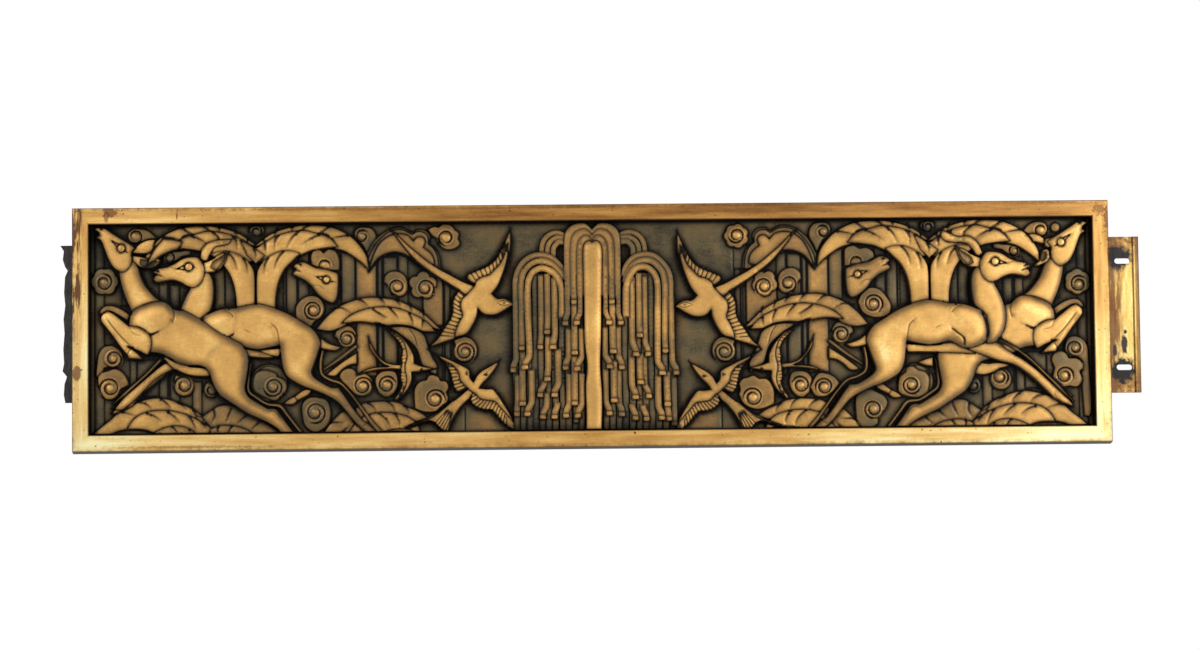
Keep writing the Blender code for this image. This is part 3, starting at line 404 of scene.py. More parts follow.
def foot_fronds(put):
    lay(shape(put, [(-503, -107), (-492, -97), (-480, -87.5), (-472, -79), (-462, -74), (-446, -69),
                    (-434, -67.5), (-424, -69), (-414, -72.5), (-400, -79), (-388, -88)],
              [(-380, -98), (-384, -107)], [(-503, -107)]), FROND - SOFT, SOFT, gilt=(0.42, 0.58), halo=3)
    cuts(put, [[(-453, -72), (-446, -74), (-440, -79)], [(-432, -68.5), (-426, -73), (-421, -79)],
               [(-415, -72), (-410, -75), (-406, -80)], [(-481, -83), (-470, -82), (-457, -85)],
               [(-399, -80), (-396, -86), (-388, -88)]], 2.2, 0.0013)
    lay(shape(put, [(-465, -99), (-461, -92), (-456, -87), (-450, -83.5), (-440, -81), (-425, -80.5),
                    (-412, -83), (-401, -87), (-390, -93), (-378, -101)],
              [(-384, -107), (-464, -107), (-465, -99)]), FROND - SOFT * 0.5, SOFT, gilt=(0.44, 0.62),
        halo=1.6)
    cuts(put, [[(-446, -83.5), (-438, -86), (-431, -91)], [(-425, -82), (-419, -86), (-413, -92)],
               [(-404, -86), (-400, -92), (-396, -101)], [(-391, -92), (-386, -99)]], 2.2, 0.0013)
    lay(shape(put, [(-481, -104), (-473, -100.5), (-460, -99), (-446, -100), (-434, -105)],
              [(-457, -107), (-481, -104)]), RAY, gilt=(0.16, 0.16), line=1.0, halo=2)
    lay(shape(put, [(-439, -103), (-430, -98.5), (-419, -96), (-408, -97), (-400, -101), (-395, -107)],
              [(-417, -109), (-439, -103)]), FROND, SOFT, gilt=(0.4, 0.56), halo=1.4)
    cuts(put, [[(-421, -96), (-417, -100), (-413, -105)], [(-403, -99), (-402, -105)]], 2.0, 0.0013)
    lay(shape(put, [(-391, -87), (-384, -82), (-374, -76), (-360, -76), (-345, -82), (-332, -89),
                    (-318, -100), (-308, -107)], [(-350, -109), (-374, -107)], [(-382, -97), (-391, -87)]),
        FROND - 2 * SOFT, SOFT, gilt=(0.3, 0.44), halo=2.5)
    cuts(put, [[(-379, -80), (-378, -86), (-381, -92)],
               [(-362, -80), (-367, -92)], [(-345, -85), (-355, -93)], [(-330, -90), (-342, -100)]],
         2.2, 0.0013)
    lay(shape(put, [(-382, -99), (-372, -96), (-362, -96), (-352, -98), (-343, -102), (-337, -107)],
              [(-360, -109), (-384, -107)], [(-382, -99)]), FROND - SOFT, SOFT, gilt=(0.4, 0.54), halo=1.6)
    cuts(put, [[(-374, -96), (-376, -105)], [(-361, -97), (-366, -104)]], 2.0, 0.0013)
    lay(shape(put, [(-271, -107), (-266, -98), (-260, -91), (-250, -83), (-243, -86)], [(-232, -107)],
              [(-271, -107)]), FROND - 2 * SOFT, SOFT, gilt=(0.4, 0.52), halo=2.5)
    cuts(put, [[(-262, -94), (-250, -94)], [(-252, -104), (-244, -97)]], 2.0, 0.0012)
    lay(shape(put, [(-238, -80), (-232, -75.5), (-222, -73.5), (-205, -73), (-195, -74.5), (-186, -79),
                    (-175, -83.5), (-164, -91)], [(-176, -94), (-238, -94)], [(-238, -80)]),
        FROND - 2 * SOFT, SOFT, gilt=(0.4, 0.54), halo=2.5)
    cuts(put, [[(-226, -75), (-221, -78), (-217, -83)], [(-206, -74), (-201, -78), (-198, -84)],
               [(-190, -77), (-186, -82), (-184, -87)]], 2.2, 0.0013)
    lay(shape(put, [(-246, -106), (-236, -93), (-226, -87), (-211, -84.5), (-196, -86), (-184, -90),
                    (-176, -97), (-172, -107)], [(-210, -109), (-246, -106)]), FROND - SOFT, SOFT,
        gilt=(0.44, 0.62), halo=1.6)
    cuts(put, [[(-214, -86), (-207, -92), (-203, -101)], [(-199, -86), (-195, -92), (-194, -99)],
               [(-236, -93), (-226, -98), (-216, -106)]], 2.2, 0.0013)
    lay(shape(put, [(-213, -105), (-200, -101.5), (-187, -101.5), (-176, -105)], [(-195, -108),
                    (-213, -105)]), FROND - SOFT * 0.5, gilt=(0.44, 0.5), halo=1.2)


for put in (left, right_by()):
    arched_fronds(put)
for put in (left, right_by(-2, -1)):
    foot_fronds(put)


# Antelopes: three on each side, which stand highest and are rubbed brightest. The
# far one is beside the palm and shows its head and a bent leg only. Their bodies
# swell in full.
FAR_BEAST, MID_BEAST, NEAR_BEAST = 0.0085, 0.0110, 0.0140
FULL = 0.0050


def ribbon(put, *stations):
    """A ribbon along a smooth line; a station is (x, z, width there)."""
    line = through(put(stations))
    along = np.gradient(line[:, :2], axis=0)
    along /= np.linalg.norm(along, axis=1)[:, None]
    across = np.column_stack([-along[:, 1], along[:, 0]]) * line[:, 2:3] / 2
    return np.vstack([line[:, :2] + across, (line[:, :2] - across)[::-1]])


def eye_at(put, top, x, z, radius, corner, far_corner, gilt=(0.62, 0.74)):
    """An eye: a bright ball in a dark ring, with an almond's corners."""
    for lift in (-1.6, 1.6):
        lid = ((x + corner[0]) * 0.5, (z + corner[1]) * 0.5 + lift)
        cut(put, [corner, lid, (x, z + lift * 2.2)], 2.0, 0.0009, 1.0)
    cut(put, [(x, z), far_corner], 2.4, 0.0009, 1.0)
    middle = put([(x, z)])[0]
    cut(left, [middle, middle + 0.01], 2 * radius / GROOVE + 4, 0.0012, 1.0)
    lay(disc(*middle, radius - 0.9), top, 0.0012, radius, gilt=gilt, fade=1.2, halo=0.8, wall=0.8)


def far_antelope(put, shine):
    lay(ribbon(put, (-271, -42, 2.5), (-255, -31.5, 4), (-236, -17, 4)), FAR_BEAST - 2 * SOFT,
        gilt=(0.24, 0.3), line=0.9)
    lay(shape(put, [(-236, -24), (-250, -33), (-262, -42), (-268, -47)], [(-258, -48), (-250, -41),
                    (-243, -37), (-236, -36)], [(-236, -24)]), FAR_BEAST - SOFT, SOFT,
        gilt=(shine * 0.8, shine))
    lay(shape(put, [(-311, -75.5), (-304, -70), (-298, -67)], [(-289, -61), (-280, -60)],
              [(-284, -66), (-295, -72)], [(-300, -76), (-311, -75.5)]), FAR_BEAST - SOFT, SOFT,
        gilt=(shine * 0.8, shine))
    cut(put, [(-299, -67), (-295, -73)], 1.8, 0.0010, 0.9)
    lay(shape(put, [(-254, 55.5), (-265, 59), (-277, 61.5), (-289, 67), (-297, 65), (-300, 62)],
              [(-297, 60), (-300, 55), (-295, 51.5), (-288, 48), (-281, 42), (-276, 35), (-267, 27.5),
               (-260, 25), (-256, 29), (-254, 40), (-254, 55.5)]), FAR_BEAST, FULL,
        gilt=(shine * 0.6, shine), fade=6, halo=4)
    cut(put, [(-281, 42.5), (-274, 43), (-268, 39)], 1.8, 0.0006, 0.5)
    cut(put, [(-299, 60), (-291, 56.5)], 2.4, 0.0012, 1.0)
    cut(put, [(-293, 64), (-290, 64)], 3.0, 0.0012, 1.0)
    eye_at(put, FAR_BEAST + FULL * 0.9, -266, 48.5, 4, (-277, 52), (-257, 46),
           gilt=(shine, shine * 1.1))


# The antelope that leaps level and looks straight ahead. Its horn is longer and
# curls back on the right half.
def level_antelope(put, rise, shine, horn):
    low, high = shine * 0.5, shine
    under = rise - SOFT

    # Behind the body: the far hind leg, the tail, the belly and the horn
    lay(ribbon(put, (-270, -20, 3), (-272.5, -36, 3.5), (-271, -46, 3.5), (-263, -51.5, 3.5),
               (-253, -55, 3.5), (-244, -64, 3), (-232, -80, 3), (-221, -95, 3.5), (-211, -106, 4)),
        under - SOFT, gilt=(high * 0.5, high * 0.68), halo=3)
    lay(shape(put, [(-273, -8), (-265, -14), (-251, -19)], [(-257, -22.5), (-265, -22), (-274, -20)]),
        under, SOFT, gilt=(low, high))
    lay(shape(put, [(-310, -19), (-325, -20), (-345, -20), (-362, -19), (-385, -23)], [(-383, -29),
                    (-368, -29.5), (-345, -28.5), (-325, -28), (-313, -27), (-310, -19)]), under, SOFT, 4,
        gilt=(high * 0.6, high * 0.85), fade=3, halo=3)
    lay(shape(put, *horn), under, SOFT, gilt=(low, high * 0.95), fade=3, halo=2.5)

    # The forelegs, the near one over the far one
    lay(ribbon(put, (-404, -15, 4), (-425, -27, 3), (-440, -39, 3), (-452, -51, 3), (-466, -65, 3),
               (-480, -79, 2)), under, gilt=(high * 0.48, high * 0.66), halo=3)
    lay(shape(put, [(-393, -17), (-404, -20), (-414, -27), (-426, -34), (-440, -44), (-452, -55),
                    (-464, -67), (-477, -79)],
              [(-480, -84), (-470, -81), (-460, -76)],
              [(-452, -68), (-440, -56), (-430, -48), (-420, -42), (-404, -37.5), (-388, -31),
               (-370, -24)], [(-376, -10)]), rise, SOFT, gilt=(low, high), halo=4)
    cut(put, [(-468, -80), (-463, -76), (-460, -70)], 1.8, 0.0009, 0.7)

    # The neck, and over it the body with the near hind leg
    lay(shape(put, [(-387, 62), (-381, 54), (-378.5, 46), (-378.5, 32), (-381, 20), (-386, 12),
                    (-392, 2), (-394, -10), (-393, -20)],
              [(-400, -19), (-407, -13), (-412, -2), (-413, 10), (-411, 22), (-406, 34), (-402, 42),
               (-404, 50), (-400, 62), (-387, 62)]), rise, FULL, rounding=9,
        gilt=(low * 0.85, high), fade=8.5, halo=5)
    lay(shape(put, [(-393, 8), (-387, 14), (-379, 18), (-368, 21), (-356, 21.5), (-345, 23.5),
                    (-335, 25), (-323, 22.5), (-310, 18), (-300, 13), (-290, 6.5), (-280, 0),
                    (-274, -8), (-272, -15), (-275, -26), (-279, -37), (-281, -44), (-279, -48),
                    (-271, -54), (-261, -59), (-254.5, -59)],
              [(-248, -68), (-240, -80), (-231, -92)],
              [(-224, -97), (-215, -107)], [(-227, -107), (-230, -103)],
              [(-239, -94), (-247, -84), (-255, -75), (-264, -69), (-277, -63), (-288, -59),
               (-298, -54), (-306, -48), (-310, -40), (-312, -28), (-313, -17)],
              [(-322, -19), (-333, -21), (-345, -20), (-356, -17), (-370, -24), (-384, -22),
               (-392, -17), (-395, -8), (-393, 8)]), rise, FULL, rounding=12,
        gilt=(low * 0.85, high), fade=11, halo=5)

    # The shoulder, and the folds between the muscles, with painted shade along them
    lay(shape(put, [(-359, 21.5), (-368, 20.5), (-378, 17.5), (-387, 11.5), (-391.5, 4), (-393.5, -6),
                    (-393, -17), (-386, -21), (-374, -19), (-370.5, -12), (-364, -7), (-358.5, -2),
                    (-356, 9), (-359, 21.5)]), None, 0.0013, 14,
        line=0.3, halo=1.4, wall=3.0)
    cut(put, [(-388, 13), (-391.5, 4), (-393.5, -5), (-393, -17), (-389, -21)], 2.6, 0.0012, 1.0, shade=0.4)
    cut(put, [(-370, 20), (-364, 17), (-358, 12)], 2.0, 0.0006, 0.7, shade=0.3)
    cut(put, [(-358, -4), (-364, -9), (-370, -14), (-371, -23)], 3.0, 0.0012, 1.0, shade=0.4)
    cut(put, [(-321, 5), (-316, 0), (-314, -8), (-313, -17)], 2.2, 0.0007, 0.75, shade=0.35)
    cut(put, [(-347, -1), (-342, -4)], 2.0, 0.0005, 0.6)
    cut(put, [(-256, -60), (-250, -66)], 1.6, 0.0008, 0.5)
    cut(put, [(-231, -99), (-224, -93)], 1.8, 0.0010, 0.8)

    # The ear and its hollow, and over it the head
    lay(shape(put, [(-391, 66), (-381, 70), (-372, 75), (-364, 78)],
              [(-366, 69), (-371, 61), (-379, 57), (-391, 57)], [(-391, 66)]), rise - SOFT * 0.5, SOFT,
        gilt=(low, high), fade=3, halo=2)
    lay(shape(put, [(-381, 62), (-379, 67), (-373, 71), (-366, 76)], [(-368, 69), (-372, 63),
                    (-377, 59.5), (-381, 62)]), rise - SOFT, gilt=(low * 0.3, high * 0.62), fade=4,
        line=1.0, halo=0.8)
    lay(shape(put, [(-390, 68), (-394, 72.5), (-402, 73), (-410, 71), (-418, 66), (-426, 63),
                    (-435, 61), (-440, 57)],
              [(-436, 55.5), (-439, 51), (-435, 47), (-428, 48), (-419, 49), (-411, 46.5), (-404, 42.5),
               (-397, 42), (-391, 46), (-388, 53), (-387.5, 61), (-390, 68)]), rise + SOFT, SOFT,
        rounding=8, gilt=(low * 0.95, high * 0.95), fade=5, halo=4)
    cut(put, [(-441, 53.5), (-434, 55), (-429, 53)], 2.2, 0.0012, 1.0)
    cut(put, [(-441, 57), (-436, 52), (-437, 48)], 9, 0.0002, 0.4)
    cut(put, [(-436, 59), (-433, 58.5)], 2.6, 0.0010, 1.0)
    cut(put, [(-430, 63), (-420, 62), (-414, 60)], 2.2, 0.0005, 0.5)
    eye_at(put, rise + 2 * SOFT, -403, 62.5, 4.6, (-416, 60.5), (-396, 61.5))


# The antelope that looks up, with one foreleg folded and the other stretched
# down. The right one lies behind its mate, so its tail, belly, horn and ear differ.
def rearing_antelope(put, rise, shine, mirrored=False):
    low, high = shine * 0.5, shine
    under = rise - SOFT

    # Behind the body: the far hind leg, the tail, and the forelegs
    lay(ribbon(put, (-342, -33, 3), (-344, -48, 3), (-344, -62, 3.5), (-336, -69, 3.5), (-325, -75.5, 3.5),
               (-313, -77.5, 4), (-306, -86, 3.5), (-296, -99, 3.5), (-289, -108, 4)), under - SOFT,
        gilt=(high * 0.5, high * 0.66), halo=3)
    if mirrored:
        lay(shape(left, [(341, -34), (333, -36), (326, -39.5), (333, -43), (341, -44)], [(341, -34)]),
            under, SOFT, gilt=(low, high * 0.8))
    else:
        lay(shape(put, [(-350, -18), (-341, -21), (-330, -24), (-317, -28.5)],
                  [(-325, -29.5), (-336, -29), (-345, -28)], [(-350, -18)]), under, SOFT,
            gilt=(low, high))
    lay(ribbon(put, (-462, 11.5, 7), (-471, 17.5, 7.5), (-480, 21.5, 7), (-486.5, 21, 6.5),
               (-491.5, 15.5, 4.5)), under - SOFT, gilt=(high * 0.45, high * 0.62), halo=3)
    lay(ribbon(put, (-431, -29, 3), (-446, -45, 3.5), (-462, -59, 3.5), (-479, -74, 2)), under - SOFT,
        gilt=(high * 0.48, high * 0.66), halo=3)
    lay(shape(put, [(-424, -32), (-430, -35), (-440, -43), (-454, -55), (-468, -67.5), (-478, -79)],
              [(-470, -79.5), (-462, -74)], [(-456, -69), (-450, -63), (-440, -52.5), (-430, -45),
                                            (-418, -39)], [(-424, -32)]), under, SOFT,
        gilt=(low, high), halo=4)

    # The belly, the horn and what is seen of the ear; on the left a frond's tip
    # lies over the ear
    if mirrored:
        lay(shape(left, [(376, -34), (385, -38), (395, -41), (405, -40), (421, -42)],
                  [(415, -45), (407, -47), (400, -51), (390, -53), (376, -50)], [(376, -34)]),
            under - SOFT, SOFT, gilt=(low, high * 0.85), fade=3, halo=3)
        lay(shape(left, [(438.5, 88.2), (442.4, 89.2), (447.2, 88.6), (451.6, 87), (456, 83.5)],
                  [(456.5, 80.5), (455.2, 77.8)], [(450, 79.4), (446.4, 80.2), (443.6, 81)],
                  [(441.5, 84.8), (438.5, 88.2)]), under, SOFT, gilt=(low, high * 0.72), fade=3, halo=2.5)
        lay(shape(left, [(466, 86), (459, 85), (455.6, 83), (454.8, 79.6), (456, 75.8), (459.4, 74.2),
                         (463, 74.6)], [(466, 80), (466, 86)]), under + SOFT, SOFT,
            gilt=(low, high * 0.9), fade=3, halo=2.2)
    else:
        lay(ribbon(put, (-428, -27, 4), (-417, -35.5, 7), (-404, -41, 9), (-392, -42.5, 9.5),
                   (-380, -43, 8)), under - SOFT, SOFT, gilt=(low, high * 0.8), fade=3, halo=3)
        lay(shape(put, [(-460, 78), (-456, 83), (-450, 88), (-443, 90.5), (-436, 91)],
                  [(-438, 84), (-440, 79), (-446, 76), (-460, 76.5)], [(-460, 78)]), under, SOFT,
            gilt=(low, high * 0.85), fade=3, halo=2.5)
        lay(shape(put, [(-460, 75), (-450, 73.5), (-442, 71), (-436, 73), (-431, 70)],
                  [(-434, 65), (-441, 61.5), (-449, 62), (-460, 66)], [(-460, 75)]), under, SOFT,
            gilt=(low, high * 0.9), fade=3, halo=2.5)
        lay(shape(put, [(-451, 70), (-451, 65), (-446, 63), (-439, 64), (-434, 68)], [(-442, 70),
                        (-451, 70)]), under - SOFT, gilt=(0.1, 0.2), line=1.0, halo=0.6)
        lay(shape(put, [(-444.8, 64.6), (-441.8, 72), (-437, 81), (-428.6, 91)],
                  [(-420, 90.4), (-409.8, 88)], [(-411, 84), (-414.4, 80.4)],
                  [(-424, 77), (-433, 72.4), (-439, 68.2), (-444.8, 64.6)]), rise - SOFT * 0.5, SOFT,
            rounding=5, gilt=(low, high * 0.95), fade=5, halo=3)

    # The neck, with the right one's ear against it, and over it the body
    lay(shape(put, [(-473, 60), (-472, 52), (-470, 43), (-466, 31), (-461, 20), (-458, 10)],
              [(-440, 10), (-424, 27)],
              [(-434, 31), (-441, 38), (-447, 46), (-451, 55), (-454, 64), (-462, 70), (-473, 60)]),
        rise, FULL, rounding=10, gilt=(low * 0.85, high), fade=9.5, halo=5)
    if mirrored:
        lay(shape(left, [(459.2, 73.6), (460.4, 68.3), (459.8, 64), (457.2, 60.4), (453, 57.8),
                         (447.2, 56), (442.5, 56.4)], [(446.8, 59.6), (449.6, 62.2), (450, 66.7),
                                                       (451.6, 70.6), (454.8, 73.2), (459.2, 73.6)]),
            rise + SOFT * 0.5, SOFT, rounding=2, gilt=(low, high * 0.72), fade=2, halo=2.5)
        lay(shape(left, [(455.6, 70.6), (457, 67), (455.8, 63.2), (452.6, 60.8), (450.9, 62.4),
                         (451.2, 66.7), (453, 70), (455.6, 70.6)]), rise - SOFT, gilt=(0.08, 0.16),
            line=0.9, halo=0.8)
    lay(shape(put, [(-462, 14), (-457, 20), (-450, 24), (-440, 27), (-430, 28), (-424, 26.5),
                    (-418, 21), (-408, 18.5), (-398, 13.5), (-389, 8), (-379, 0.5), (-369, -6),
                    (-359, -10.5), (-350, -16), (-346, -22), (-343.5, -30), (-344, -40), (-346, -52),
                    (-347, -60), (-344, -67), (-335, -73.5), (-325, -79.5)],
              [(-317, -80), (-312, -86), (-304, -97), (-296, -107)],
              [(-310, -107), (-315, -101), (-323, -95.5), (-333, -90.5), (-345, -85), (-355, -78.5),
               (-365, -72), (-372, -67), (-377, -60), (-381, -51), (-383, -44), (-387, -39),
               (-393, -36.5)],
              [(-402, -36), (-414, -33), (-422, -29), (-431, -24.5), (-440, -23)],
              [(-444, -25.5), (-452, -22), (-460, -15), (-463, -4), (-463, 6), (-462, 14)]),
        rise, FULL, rounding=12, gilt=(low * 0.85, high), fade=11, halo=5)

    # The shoulder, and the folds between the muscles, with painted shade along them
    lay(shape(put, [(-460.5, 4), (-457, 14.5), (-448, 22.5), (-438.5, 26), (-422, 25), (-419, 18),
                    (-420, 10), (-425, 3), (-432, -1.5), (-440, -4), (-449, -2), (-460.5, 4)]),
        None, 0.0013, 14, line=0.35, halo=1.4, wall=3.0)
    cut(put, [(-424, 27), (-419, 21), (-417.5, 14), (-419, 6)], 2.2, 0.0006, 0.75, shade=0.35)
    cut(put, [(-446, -5), (-440, -5), (-432, -1.5)], 3.0, 0.0012, 1.0, shade=0.35)
    cut(put, [(-388, -43), (-384, -33), (-379, -24), (-369, -16), (-358, -12)], 8, 0.0009, 0.22)
    cut(put, [(-441, -6), (-440, -14), (-441, -22)], 3.0, 0.0012, 1.0, shade=0.35)
    cut(put, [(-325, -82), (-318, -82.5), (-311, -91)], 2.0, 0.0012, 0.8)
    cut(put, [(-461, 6), (-462, -2), (-458, -8)], 1.8, 0.0010, 0.6)

    # The folded foreleg and the head, over all the rest
    lay(shape(put, [(-462, 4), (-470, 10.5), (-479, 17.5), (-484.5, 19.5)],
              [(-490, 15), (-491, 10), (-487, 4), (-480, -5), (-473, -15), (-465, -25)],
              [(-464, -28), (-455, -29.5), (-448, -30)], [(-452, -25), (-460, -18)],
              [(-463, -17), (-452, -22), (-444, -25.5)],
              [(-441, -20), (-440, -12), (-442, -5), (-452, 2), (-462, 4)]), rise + SOFT * 0.6, SOFT,
        rounding=7, gilt=(low * 0.95, high), fade=4, halo=4)
    cut(put, [(-484, 10.5), (-480, 5), (-471, -6), (-462, -15)], 2.2, 0.0013, 0.8)
    cut(put, [(-465, -26), (-461, -19)], 2.0, 0.0010, 0.8)
    cut(put, [(-462, 3), (-458, -4), (-451, -6)], 1.8, 0.0008, 0.45)
    lay(shape(put, [(-456, 82), (-461, 86), (-470, 91.5), (-480, 98), (-486, 102), (-493, 103),
                    (-498, 101)],
              [(-492, 96), (-496, 92.5)], [(-491, 89.5), (-487, 80), (-483.5, 71), (-479, 63),
                                           (-473, 58.5), (-467, 58), (-461.5, 63), (-459, 70),
                                           (-459.5, 77), (-456, 82)]), rise + SOFT, SOFT, rounding=8,
        gilt=(low * 0.95, high * 0.95), fade=5, halo=4)
    cut(put, [(-497, 97), (-490, 93.5)], 2.2, 0.0012, 1.0)
    cut(put, [(-499, 101), (-494, 95), (-492, 90)], 9, 0.0002, 0.4)
    cut(put, [(-491, 101), (-488, 100.5)], 2.6, 0.0010, 1.0)
    eye_at(put, rise + 2 * SOFT, -470, 81.5, 4.6, (-480.5, 90), (-463, 77))


far_antelope(left, 0.62)
far_antelope(right_by(0, 1), 0.6)
level_antelope(left, MID_BEAST, 0.82, (
    [(-392, 70), (-391.5, 77), (-389, 82), (-384, 86.5), (-376, 89), (-369, 89.5), (-360.5, 90)],
    [(-363, 86), (-369, 84.2), (-376.5, 82.5), (-381, 77), (-385, 67)]))
rearing_antelope(left, NEAR_BEAST, 0.8)
rearing_antelope(right_by(1.5, -1.5), MID_BEAST, 0.79, True)
level_antelope(right_by(1.5, -1.5), NEAR_BEAST, 0.79, (
    [(-392, 70), (-388, 79), (-383, 85), (-377, 88.5), (-366, 88), (-359, 91), (-351, 95)],
    [(-349, 90), (-352, 85), (-360, 82.5), (-370, 82.5), (-377, 80), (-381, 74), (-385, 67)]))


# Birds: three on each side, cast high with thin dark feathers. Each wing has a
# row of feathers behind a smooth arm, and the great swallow trails a long tail.
BIRD = 0.0105


def ribs(put, outer, inner, count, width, first, last, dark=0.96, span=1.0):
    """Grooves across a band, between matching places on its two edges."""
    ends = []
    for edge in (outer, inner):
        line = through(put(edge))
        run = np.concatenate([[0], np.cumsum(np.hypot(*np.diff(line, axis=0).T))])
        wanted = np.linspace(first, last, count) * run[-1]
        ends.append(np.column_stack([np.interp(wanted, run, line[:, axis]) for axis in (0, 1)]))
    for a, b in zip(*ends):
        cut(left, [a, a + (b - a) * span], width * 1.15, 0.0011, dark)


def great_swallow(put):
    top_edge = [(-81.8, 100), (-85, 91), (-89, 82), (-97, 68), (-104, 62), (-114, 57.5), (-124, 53.5)]
    low_edge = [(-132, 38), (-137, 33), (-140, 26), (-140.5, 15), (-143, 8), (-148.5, 0), (-154, -9),
                (-157, -13)]
    lay(shape(put, top_edge, [(-126, 50), (-123, 46), (-116, 42)], [(-126, 40), (-132, 38)],
              low_edge, [(-164, -19.5), (-150, -15.5), (-136, -11), (-126, -7), (-120, 2), (-116, 10),
                         (-114.5, 16)],
              [(-108, 12), (-98, 11), (-91, 14), (-85, 18), (-78, 22)], [(-84, 27), (-90, 29),
                                                                        (-95, 28.5), (-100, 33)],
              [(-94, 41), (-90.5, 50), (-86.4, 60), (-83, 72), (-81.4, 86), (-81.8, 100)]),
        BIRD, SOFT, gilt=(0.4, 0.6), fade=4, halo=4)
    ribs(put, top_edge[1:], [(-87, 80), (-91, 64), (-97, 59), (-103, 53), (-112, 49), (-119, 46)], 11, 1.9,
         0.1, 0.96)
    ribs(put, low_edge, [(-128, 32), (-131, 25), (-132, 18), (-130, 11), (-134, 4), (-137, -4),
                         (-140, -8), (-146, -12)], 12, 1.9, 0.04, 0.9)
    lay(shape(put, [(-118, 41), (-130, 46), (-141, 52), (-152, 58), (-163, 65), (-175, 74.5),
                    (-186, 84), (-195, 93), (-203, 100)],
              [(-196, 91), (-187, 79), (-177, 67.5), (-167, 59), (-155, 50.5), (-145, 44),
               (-137, 39), (-128, 33)], [(-112, 34), (-118, 41)]), BIRD + SOFT * 0.5, SOFT,
        gilt=(0.44, 0.66), fade=3, halo=4)
    lay(shape(put, [(-84.5, 84), (-88.5, 70), (-93, 62), (-98, 57), (-103, 52), (-110, 50),
                    (-116, 46), (-119, 40)],
              [(-125, 33), (-131, 27), (-132, 19), (-130, 12), (-134, 4), (-137.5, -5), (-138, -10)],
              [(-127, -7), (-120, 2), (-116, 11), (-115, 19)],
              [(-110, 13), (-98, 12), (-90, 15.5), (-84, 19), (-79, 22)],
              [(-84, 26.5), (-90, 28.5), (-96, 28.5), (-101, 33)],
              [(-95, 41), (-91, 50), (-87.5, 60), (-85, 71), (-84.5, 84)]), BIRD + SOFT, SOFT, rounding=8,
        gilt=(0.5, 0.72), fade=5, halo=1.5)
    cut(put, [(-116, 19), (-113, 15), (-108, 13)], 1.6, 0.0008, 0.6)
    cut(put, [(-135, 39), (-130, 34), (-126, 33)], 1.8, 0.0009, 0.7)
    cut(put, [(-96, 23.8), (-89, 26.2), (-82, 23)], 1.1, 0.0008, 0.9)
    cut(put, [(-96, 23.8), (-89, 21), (-82, 23)], 1.1, 0.0008, 0.9)
    cut(put, [(-90, 23.6), (-88, 23.6)], 2.0, 0.0010, 0.9)


def small_swallow(put):
    lay(shape(put, [(-188, -37), (-200, -36.5), (-208, -34), (-214, -29), (-219, -22), (-225, -8)],
              [(-223, -20), (-217, -29), (-210, -36.5), (-204, -39)],
              [(-214, -39), (-225, -41), (-237, -47)], [(-226, -44), (-212, -42), (-200, -41.5),
                                                      (-188, -43)], [(-188, -37)]), BIRD, SOFT,
        gilt=(0.4, 0.56), fade=3, halo=3)
    wing = [(-207, -1), (-200, -8), (-194, -15), (-191, -22), (-192, -30), (-191.5, -38)]
    low_wing = [(-192.5, -43), (-193, -51), (-191.5, -57), (-194.5, -64), (-200, -72.5)]
    lay(shape(put, [(-213, 3), (-205, -1), (-195, -6), (-188, -13), (-183, -20), (-179, -28),
                    (-178, -36)],
              [(-172, -38), (-166, -40), (-157, -41.5)], [(-166, -43.5), (-174, -44.5), (-181, -45)],
              [(-181, -52), (-183, -58), (-188, -66), (-194, -72), (-200, -72.5)], low_wing[::-1],
              [(-191.5, -38)], wing[::-1], [(-213, 3)]), BIRD, SOFT, gilt=(0.42, 0.58), fade=3, halo=3.5)
    ribs(put, wing, [(-200, -3), (-192, -10), (-187, -18), (-186, -27), (-186, -36)], 11, 1.2,
         0.1, 0.95, 0.84, 0.6)
    ribs(put, low_wing, [(-186, -45), (-186, -52), (-187, -58), (-190, -64), (-196, -70)], 8, 1.2,
         0.05, 0.8, 0.84, 0.6)
    lay(shape(put, [(-205, -1), (-195, -6), (-188, -13), (-183, -20), (-179.5, -28), (-179, -36)],
              [(-172, -38.5), (-166, -40), (-158, -41.5)], [(-167, -43), (-175, -44.5), (-181.5, -45)],
              [(-181.5, -52), (-184, -59), (-189, -66), (-195, -71)],
              [(-190, -64), (-187, -57), (-186.5, -50), (-188, -43)], [(-188, -38)],
              [(-186, -30), (-187, -21), (-191, -12), (-205, -1)]), BIRD + SOFT, SOFT,
        gilt=(0.5, 0.66), fade=3, halo=1.2)
    cut(put, [(-173, -42.2), (-171, -42.2)], 2.4, 0.0008, 1.0)


